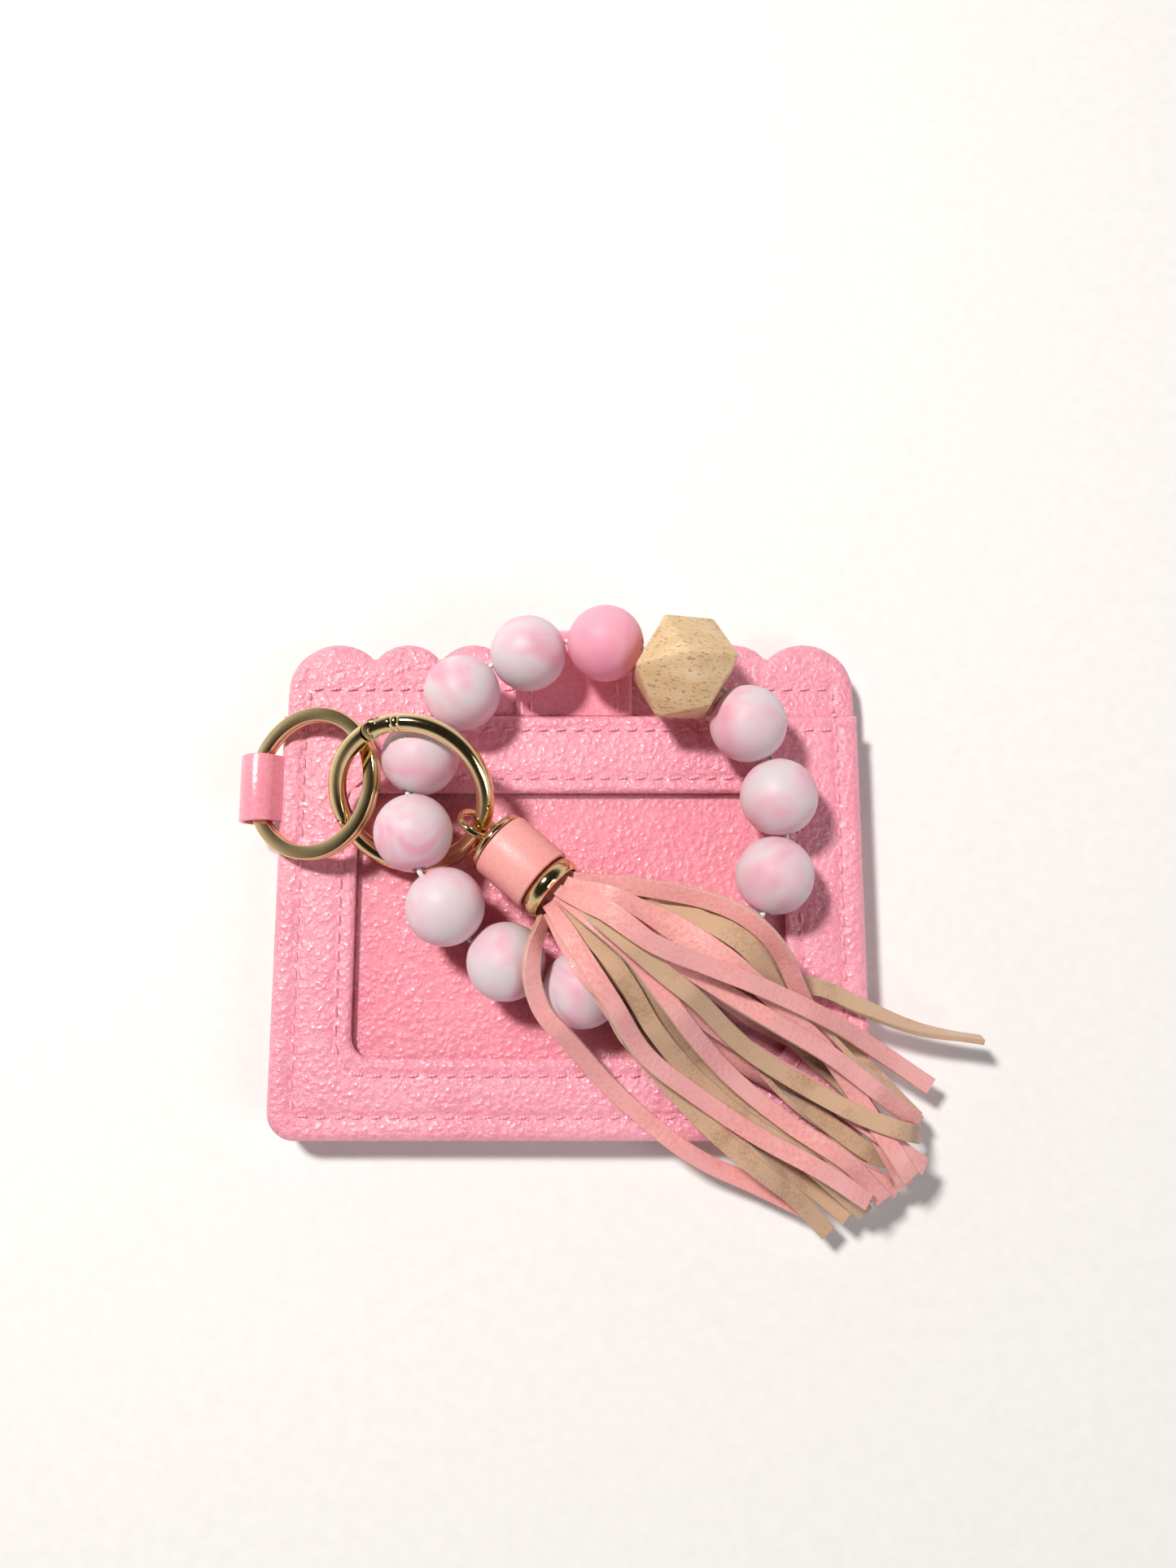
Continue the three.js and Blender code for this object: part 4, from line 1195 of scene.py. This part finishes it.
def build_beads():
    for name in BEADS:
        centre = middle_of(name)
        axis = joint[name + "_spin"]["axis"]
        mouth = math.asin(1.3 / BEAD_RADIUS)
        turns = np.linspace(mouth, math.pi - mouth, 34)
        skin = [(BEAD_RADIUS * math.sin(a), -BEAD_RADIUS * math.cos(a)) for a in turns]
        inner = [(1.15, skin[-1][1] - 0.35), (1.15, skin[0][1] + 0.35)]
        solid = name == "bead_03"
        make(
            "silicone_" + name,
            *turned(skin + inner, centre, axis, 56),
            [PINK_SILICONE if solid else MARBLE],
            name + "_body",
            "solid_silicone" if solid else "marbled_silicone",
            [name],
            sharp=70,
        )


def build_wood_bead():
    """Cut to six square and eight triangular facets, its edges softened by sanding."""
    source = frame["nodes"]["wood_bead"]
    mesh = source.data.copy()
    mesh.materials.clear()
    mesh.materials.append(BEECH)
    bead = bpy.data.objects.new("beech_bead", mesh)
    bpy.context.scene.collection.objects.link(bead)
    shape = bmesh.new()
    shape.from_mesh(mesh)
    bmesh.ops.remove_doubles(shape, verts=shape.verts, dist=2e-6)
    bmesh.ops.dissolve_limit(shape, angle_limit=math.radians(4), verts=shape.verts, edges=shape.edges)
    shape.to_mesh(mesh)
    shape.free()
    soften = bead.modifiers.new("sanded", "BEVEL")
    soften.width = 0.55 * MM
    soften.segments = 3
    soften.limit_method = "ANGLE"
    soften.angle_limit = math.radians(30)
    finish_modifiers(bead)
    settle(bead, 30)
    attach(bead, "wood_bead_body")
    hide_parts("wood_bead")


build_beads()
build_wood_bead()


def build_elastic():
    """The elastic cord through the beads, tied in a small knot inside one of them."""
    order = BEADS[:3] + ["wood_bead"] + BEADS[3:]
    centres = [np.array(middle_of(n)) for n in order]
    axes = [np.array(Vector(joint[n + "_spin"]["axis"]).normalized()) for n in order]
    points = []
    for centre, axis in zip(centres, axes):
        points += [centre - axis * 6.0, centre + axis * 6.0]
    points = np.array(points + points[:1])
    line = smooth_path(points, 330)[:-1]
    stations = []
    for i, at in enumerate(line):
        ahead = line[(i + 1) % len(line)] - line[i - 1]
        ahead /= np.linalg.norm(ahead)
        side = np.cross(ahead, (0, 0, 1))
        side /= np.linalg.norm(side)
        stations.append((at, side, np.cross(side, ahead)))
    cord_radius = 0.5
    cord = swept(stations, circle(cord_radius, 12), True)
    make("elastic_thread", *cord, [ELASTIC], "bracelet", "elastic", ["elastic_cord"])
    knot_at = middle_of("cord_knot")
    along = Vector(axes[7])
    side = along.orthogonal().normalized()
    up = along.cross(side)
    stations = []
    for turn in np.linspace(0, 2 * math.pi, 60, endpoint=False):
        radius = 0.5 + 0.15 * math.cos(3 * turn)
        out = side * math.cos(2 * turn) + up * math.sin(2 * turn)
        at = knot_at + out * radius + along * 0.35 * math.sin(3 * turn)
        stations.append((at, np.array(out) * 0.32, np.array(along) * 0.32))
    knot = swept(stations, circle(1.0, 10), True)
    make("elastic_knot", *knot, [ELASTIC], "bracelet", "elastic", ["cord_knot"])


build_elastic()


# ---- Tassel: cap, band and ferrule ----
band_middle = middle_of("tassel_band")
ferrule_middle = middle_of("tassel_ferrule")
tassel_axis = (ferrule_middle - band_middle).normalized()
BAND_LENGTH, BAND_RADIUS = 11.0, 6.7
FERRULE_WIDTH, FERRULE_RADIUS = 3.0, 6.3
CAP_HEIGHT, CAP_RADIUS = 1.7, 6.3
band_start = band_middle - tassel_axis * BAND_LENGTH / 2
cap_top = band_start - tassel_axis * (CAP_HEIGHT + 0.3)
BAIL_RADIUS, BAIL_WIRE = 3.6, 0.7


def build_tassel_metal():
    crown = [(0, 0), (2.0, 0.02), (3.2, -0.05), (CAP_RADIUS - 1.0, 0.12), (CAP_RADIUS, 0.85)]
    profile = crown + [(CAP_RADIUS, CAP_HEIGHT), (0, CAP_HEIGHT)]
    disc = turned(eased(profile, 0.5, 5), cap_top, tassel_axis, 72)
    cap = make("tassel_cap_disc", *disc, [GOLD], None, "gold", sharp=50)
    middle = cap_top - tassel_axis * (BAIL_RADIUS + BAIL_WIRE - 0.4)
    wire_way = ring_normal.cross(ring_out(math.radians(-22)))
    normal = (wire_way - tassel_axis * wire_way.dot(tassel_axis)).normalized()
    side = normal.cross(tassel_axis)
    stations = []
    for turn in np.linspace(0, 2 * math.pi, 72, endpoint=False):
        out = side * math.cos(turn) + tassel_axis * math.sin(turn)
        at = middle + out * BAIL_RADIUS
        stations.append((at, np.array(out) * BAIL_WIRE, np.array(normal) * BAIL_WIRE))
    carve(cap, loose("bail", *swept(stations, circle(1.0, 16), True), [GOLD]), "UNION")
    settle(cap, 40)
    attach(cap, "tassel")
    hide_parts("tassel_cap")
    half = FERRULE_WIDTH / 2
    bore = 5.3
    upper = [(bore, half), (FERRULE_RADIUS - 0.5, half), (FERRULE_RADIUS, half - 0.7)]
    lower = [(FERRULE_RADIUS, -half + 0.7), (FERRULE_RADIUS - 0.5, -half)]
    profile = [(bore, -half)] + upper + [(FERRULE_RADIUS + 0.1, 0)] + lower
    make(
        "tassel_ferrule_ring",
        *turned(eased(profile, 0.4, 4), ferrule_middle, tassel_axis, 72),
        [GOLD],
        "tassel",
        "gold",
        ["tassel_ferrule"],
        sharp=50,
    )


def build_band():
    """A strip of leather wound once round the tassel's head and lapped over its own end."""
    side = tassel_axis.orthogonal().normalized()
    up = tassel_axis.cross(side)
    stations = []
    lap = math.radians(16)
    for s in np.linspace(0, 2 * math.pi + lap, 96):
        turn = math.radians(200) + s
        out = side * math.cos(turn) + up * math.sin(turn)
        grow = 0.45 * np.clip((s - 2 * math.pi + lap) / (2 * lap), 0, 1)
        radius = BAND_RADIUS - 0.62 + grow
        stations.append((band_middle + out * radius, np.array(tassel_axis), np.array(out)))
    section = rounded_bar(BAND_LENGTH / 2, 0.5, 0.28, 3)
    wrap = swept(stations, section)
    make("tassel_band_wrap", *wrap, [BAND], "tassel", "smooth_leather", ["tassel_band"], sharp=60)


build_tassel_metal()
build_band()


# ---- Fringe ----
# Each strap's route from the ferrule's end as (forward, left) in millimetres, its place in the
# rolled-up root as (left, up), and where along it it turns over: a list of (place, turn in degrees).
# The straps are laid one on another in this order.
FRINGE = [
    [[(14.8, -4.2), (28.2, -7.8), (41.2, -9.4), (55.8, -9.9), (69.8, -9.5), (80.6, -8.7)],
     (-1.5, -3.2), [(0, 0), (0.5, 160), (1, 185)]],
    [[(15.7, 1.7), (28.6, 1.9), (41.8, 1.8), (56.4, 1.7), (69.3, 1.1), (82.7, -3.0)], (0.5, -3.4),
     [(0, 180)]],
    [[(11.7, -4.0), (23.7, -6.0), (35.6, -6.4), (49.0, -5.9), (63.3, -3.8), (76.0, -1.3),
     (81.8, 0)], (-0.5, -2.8), [(0, 180), (0.6, 180), (0.8, 350), (1, 365)]],
    [[(12.8, 10.3), (24.6, 15.3), (35.3, 16.5), (43.8, 16.6), (50.1, 19.9), (58.1, 22.3),
     (69.2, 26.6), (79.7, 33.0)], (3.2, -1.6), [(0.45, 180), (0.6, 180), (0.95, 105)]],
    [[(12.7, -6.8), (24.1, -9.9), (35.2, -11.7), (46.8, -12.1), (60.4, -11.3), (73.0, -9.7),
     (80.4, -9.3)], (-2.6, -2.4), [(0, 0), (0.5, -15), (0.85, 150), (1, 180)]],
    [[(14.0, 0.2), (26.9, -0.3), (39.6, -0.8), (53.5, -0.6), (66.7, 1.3), (77.1, 2.7), (84.2, 7.2)],
     (0.2, -1.8), [(0, 0), (0.55, 20), (0.8, 180), (1, 180)]],
    [[(13.4, 2.7), (25.3, 4.1), (37.1, 5.7), (49.4, 7.5), (63.3, 8.8), (76.0, 6.9), (83.0, 4.0)],
     (1.6, -1.8), [(0, 0), (0.5, 0), (0.75, 165), (1, 190)]],
    [[(9.4, 8.2), (19.7, 12.5), (29.7, 14.5), (37.1, 14.4), (46.9, 12.6), (60.8, 14.0),
     (79.5, 13.2)], (3.0, -0.4), [(0.15, 0), (0.3, 180), (1, 180)]],
    [[(4.0, -10.5), (7.5, -14.9), (13.0, -18.1), (20.3, -18.9), (31.7, -20.4), (43.1, -20.5),
     (53.8, -19.3), (63.6, -16.4), (73.3, -13.6)], (-4.0, -0.6), [(0, -60), (0.12, -45), (0.35, 12),
     (0.8, -8), (1, 4)]],
    [[(13.4, -7.6), (25.6, -10.8), (37.4, -12.6), (48.3, -13.7), (59.3, -13.7), (69.8, -13.1),
     (79.7, -13.9)], (-3.2, -0.4), [(0.2, 0), (0.4, 180), (1, 180)]],
    [[(10.3, -1.5), (18.9, -2.9), (29.5, -5.2), (42.1, -7.1), (56.3, -7.1), (70.8, -3.4),
     (84.6, 0.6)], (-1.0, 2.4), [(0.05, 0), (0.2, 168), (0.75, 180), (0.9, 360)]],
    [[(12.6, -2.4), (21.3, -4.4), (29.8, -7.1), (40.4, -8.6), (52.8, -8.5), (66.0, -6.8),
     (82.2, -6.6)], (-1.4, -0.6), [(0, 100), (0.16, 180), (1, 195)]],
    [[(12.0, 11.2), (22.0, 16.7), (30.4, 18.8), (39.0, 18.2), (47.2, 15.2), (57.5, 12.2),
     (67.2, 9.1), (75.8, 5.2), (84.8, 2.2)], (3.8, 1.2), [(0, 0), (0.25, 24), (0.45, 34), (0.6, 10),
     (1, 0)]],
    [[(9.2, 5.8), (19.4, 9.3), (29.8, 10.9), (38.5, 11.2), (50.4, 12.7), (65.0, 13.1),
     (76.9, 12.7)], (2.6, 0.8), [(0, 10), (0.5, -14), (1, 160)]],
    [[(13.6, 0.7), (25.0, 0.2), (35.8, 0.2), (47.9, 2.0), (61.8, 4.7), (73.8, 5.8), (84.8, 7.0)],
     (0.9, 0.7), [(0, 0), (0.4, 14), (1, -14)]],
    [[(16.4, 0.1), (25.6, -1.4), (35.9, -3.3), (47.3, -4.3), (59.7, -3.7), (72.6, -1.9),
     (82.7, -2.5)], (-0.2, 0.9), [(0, 0), (0.3, -18), (0.6, -6), (1, 10)]],
    [[(11.3, 6.8), (21.7, 8.3), (30.8, 9.6), (37.1, 10.8), (48.1, 10.8), (59.5, 10.1), (83.4, 3.6)],
     (2.4, 2.8), [(0, 0), (0.5, 15), (1, -5)]],
    [[(11.4, 3.2), (22.5, 3.9), (32.8, 5.6), (44.6, 7.8), (57.3, 10.4), (69.3, 11.5), (79.5, 12.7)],
     (1.8, 1.9), [(0, 0), (0.5, -16), (1, 8)]],
    [[(10.0, -5.4), (20.8, -8.5), (31.3, -11.5), (42.7, -11.0), (56.8, -9.1), (69.4, -6.2),
     (80.1, -4.8)], (-2.6, 1.8), [(0, 0), (0.3, -16), (0.7, 8), (1, -8)]],
    [[(15.6, 0.9), (24.3, 1.1), (33.2, 1.6), (43.7, 1.3), (55.2, 2.9), (69.0, 6.1), (81.5, 11.1)],
     (0.8, -0.4), [(0, 60), (0.2, 172), (0.6, 184), (1, 172)]],
    [[(9.3, 2.2), (19.8, 3.7), (29.8, 7.4), (41.4, 11.6), (54.5, 15.5), (66.3, 18.0), (77.7, 19.8)],
     (0.4, 3.4), [(0, 0), (0.35, 10), (0.75, -10), (1, 6)]],
]
STRIP_HALF = 1.65
STRIP_THICK = 0.55  # half a strap's thickness
ferrule_end = np.array(ferrule_middle + tassel_axis * FERRULE_WIDTH / 2)
heading = np.array([tassel_axis.x, tassel_axis.y, 0.0])
heading /= np.linalg.norm(heading)
leftward = np.array([-heading[1], heading[0], 0.0])
CELL = 0.5
PILE_LOW = np.array([-35.0, -90.0])
PILE_SIZE = (270, 260)


def bare_pile():
    """The heights that the straps can lie on: the beads, the wallet's face, and nothing beyond it
    but a strap's own stiffness."""
    xs = PILE_LOW[0] + CELL * np.arange(PILE_SIZE[0])
    ys = PILE_LOW[1] + CELL * np.arange(PILE_SIZE[1])
    x, y = np.meshgrid(xs, ys, indexing="ij")
    heights = np.full(PILE_SIZE, 6.5)
    on_wallet = (np.abs(x) < HALF_WIDTH + 0.3) & (y > BOTTOM_Y - 0.3)
    heights[on_wallet] = pocket_high.z + 0.3
    for name in BEADS:
        centre = middle_of(name)
        reach = (BEAD_RADIUS + 0.35) ** 2 - (x - centre.x) ** 2 - (y - centre.y) ** 2
        dome = centre.z + np.sqrt(np.maximum(reach, 0))
        heights = np.where(reach > 0, np.maximum(heights, dome), heights)
    return heights


def cells_of(points):
    found = np.round((np.asarray(points)[:, :2] - PILE_LOW) / CELL).astype(int)
    return np.clip(found, 0, np.array(PILE_SIZE) - 1)


def draped(route, root, turns, pile):
    """Stations of one strap, lying on the pile as a stiff strip does, and the pile with it added."""
    steps = 84
    root_left, root_up = root
    up = np.array([0, 0, 1.0])
    anchor = [(-5.0, root_left), (0.5, root_left * 1.05)]
    plan = smooth_path(anchor + route, steps)
    points = ferrule_end + plan[:, :1] * heading + plan[:, 1:] * leftward
    ahead = np.gradient(points, axis=0)
    ahead /= np.linalg.norm(ahead, axis=1)[:, None]
    side = np.cross(np.tile(up, (steps, 1)), ahead)
    along = np.linalg.norm(np.diff(points[:2], axis=0))
    share = np.linspace(0, 1, steps)
    places = [p for p, _ in turns] or [0]
    degrees = [d for _, d in turns] or [0]
    roll = np.radians(np.interp(share, places, degrees))
    width = STRIP_HALF * np.interp(share, [0, 0.04, 0.14, 1], [0.55, 0.6, 1, 1.02])
    reach_up = STRIP_THICK * np.abs(np.cos(roll)) + width * np.abs(np.sin(roll))
    support = np.full(steps, -np.inf)
    for lateral in np.linspace(-1, 1, 7):
        at = points + side * (lateral * width * np.abs(np.cos(roll)))[:, None]
        ix = cells_of(at)
        support = np.maximum(support, pile[ix[:, 0], ix[:, 1]])
    support = support + reach_up + 0.06
    slope = tassel_axis.z / math.hypot(tassel_axis.x, tassel_axis.y)
    rooted = plan[:, 0] < 1.2
    root_height = ferrule_end[2] + root_up + plan[:, 0] * slope
    free = ~rooted
    near_root = np.clip((plan[:, 0] - 1.0) / 9.0, 0, 1)
    support = np.where(near_root < 1, np.minimum(support, root_height + near_root * 12), support)
    heights = np.where(rooted, root_height, np.maximum(support, root_height[rooted][-1]))
    sag = 0.5 * 0.034 * along**2
    for _ in range(1500):
        middle = (heights[:-2] + heights[2:]) / 2 - sag
        relaxed = np.maximum(support[1:-1], middle)
        heights[1:-1] = np.where(free[1:-1], relaxed, heights[1:-1])
        heights[-1] = max(support[-1], 2 * heights[-2] - heights[-3] - sag)
    smooth = heights.copy()
    for _ in range(3):
        smooth[1:-1] = (smooth[:-2] + 2 * smooth[1:-1] + smooth[2:]) / 4
    heights = np.where(free, np.maximum(smooth, heights - 0.15), heights)
    line = points.copy()
    line[:, 2] = heights
    ahead = np.gradient(line, axis=0)
    ahead /= np.linalg.norm(ahead, axis=1)[:, None]
    side = np.cross(np.tile(up, (steps, 1)), ahead)
    side /= np.linalg.norm(side, axis=1)[:, None]
    lift = np.cross(ahead, side)
    stations = []
    for i in range(steps):
        turned_side = side[i] * math.cos(roll[i]) + lift[i] * math.sin(roll[i])
        turned_lift = lift[i] * math.cos(roll[i]) - side[i] * math.sin(roll[i])
        stations.append((line[i], turned_side * width[i] / STRIP_HALF, turned_lift))
    settled = free & (plan[:, 0] > 6)
    for lateral in np.linspace(-1, 1, 9):
        for part in (0.0, 0.5):
            shifted = line.copy()
            shifted[:-1] = line[:-1] * (1 - part) + line[1:] * part
            at = shifted + side * (lateral * width * np.abs(np.cos(roll)))[:, None]
            ix = cells_of(at[settled])
            tops = (shifted[:, 2] + reach_up)[settled]
            np.maximum.at(pile, (ix[:, 0], ix[:, 1]), tops)
    return stations


STRIP_SECTION = [
    (-STRIP_HALF + 0.12, STRIP_THICK),
    (-STRIP_HALF / 3, STRIP_THICK + 0.04),
    (STRIP_HALF / 3, STRIP_THICK + 0.04),
    (STRIP_HALF - 0.12, STRIP_THICK),
    (STRIP_HALF, STRIP_THICK - 0.14),
    (STRIP_HALF, -STRIP_THICK + 0.1),
    (STRIP_HALF - 0.1, -STRIP_THICK),
    (0, -STRIP_THICK - 0.02),
    (-STRIP_HALF + 0.1, -STRIP_THICK),
    (-STRIP_HALF, -STRIP_THICK + 0.1),
    (-STRIP_HALF, STRIP_THICK - 0.14),
]
GRAIN_FACES = {0, 1, 2, 3, 10}  # the grain side and the coating rolled over its edges


def build_fringe():
    pile = bare_pile()
    first = None
    for number, (route, root, turns) in enumerate(FRINGE, 1):
        stations = draped(route, root, turns, pile)
        verts, faces = swept(stations, STRIP_SECTION)
        count = len(STRIP_SECTION)
        kinds = [0 if (n % count) in GRAIN_FACES else 1 for n in range(len(faces) - 2)] + [1, 1]
        name = "fringe_strap_%02d" % number
        sides = [STRIP, SUEDE]
        strap = make(name, verts, faces, sides, "tassel", "fringe_leather", kinds=kinds, sharp=38)
        first = first or strap
    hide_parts("fringe")


build_fringe()


# ---- Hidden pieces keep their solids, with their own finish ----
def refinish(node, material):
    mesh = frame["nodes"][node].data
    mesh.materials.clear()
    mesh.materials.append(material)


for lining in ("back_lining", "front_lining"):
    refinish(lining, LINING)
refinish("snap_stud", GOLD)


# ---- Stage and light ----
def add_light(name, size, power, place, colour):
    lamp = bpy.data.lights.new(name, "AREA")
    lamp.size = size
    lamp.energy = power
    lamp.color = linear(colour)[:3]
    light = bpy.data.objects.new(name, lamp)
    light.location = place
    aim = Vector((0.0, 0.0, 0.0)) - Vector(place)
    light.rotation_euler = aim.to_track_quat("-Z", "Y").to_euler()
    bpy.context.scene.collection.objects.link(light)


def add_stage():
    reach = 2.5
    mesh = bpy.data.meshes.new("floor")
    corners = [(-reach, -reach, 0), (reach, -reach, 0), (reach, reach, 0), (-reach, reach, 0)]
    mesh.from_pydata(corners, [], [(0, 1, 2, 3)])
    floor = bpy.data.objects.new("floor", mesh)
    floor.location.z = -0.0003
    bpy.context.scene.collection.objects.link(floor)
    material, shader, at = new_material("matte_white_board")
    tooth = add_node(material, "ShaderNodeTexNoise", {"Vector": at}, Scale=per_metre(3)).outputs["Fac"]
    whites = [(0.3, "#f4f2f0"), (0.7, "#f8f6f4")]
    colour = add_node(material, "ShaderNodeValToRGB", {"Fac": tooth}, whites).outputs[0]
    feed(material, shader, {"Base Color": colour, "Roughness": 0.8})
    mesh.materials.append(material)
    world = bpy.data.worlds.new("studio")
    world.use_nodes = True
    way = add_node(world, "ShaderNodeTexCoord").outputs["Generated"]
    height = add_node(world, "ShaderNodeSeparateXYZ", {0: way}).outputs["Z"]
    pale = [(0.0, "#ffffff"), (0.34, "#e6e2e0")]
    dim = [(0.48, "#8d8883"), (0.64, "#3a3733"), (0.98, "#2d2a26")]
    walls = add_node(world, "ShaderNodeValToRGB", {"Fac": height}, pale + dim).outputs[0]
    feed(world, world.node_tree.nodes["Background"], {"Color": walls, "Strength": 0.8})
    bpy.context.scene.world = world
    bpy.context.scene.view_settings.view_transform = "Standard"
    add_light("key_softbox", 0.11, 7.2, (-0.32, 0.3, 0.74), "#fffcf8")
    add_light("fill_softbox", 0.45, 2.0, (0.6, -0.35, 0.6), "#f8f9ff")


add_stage()
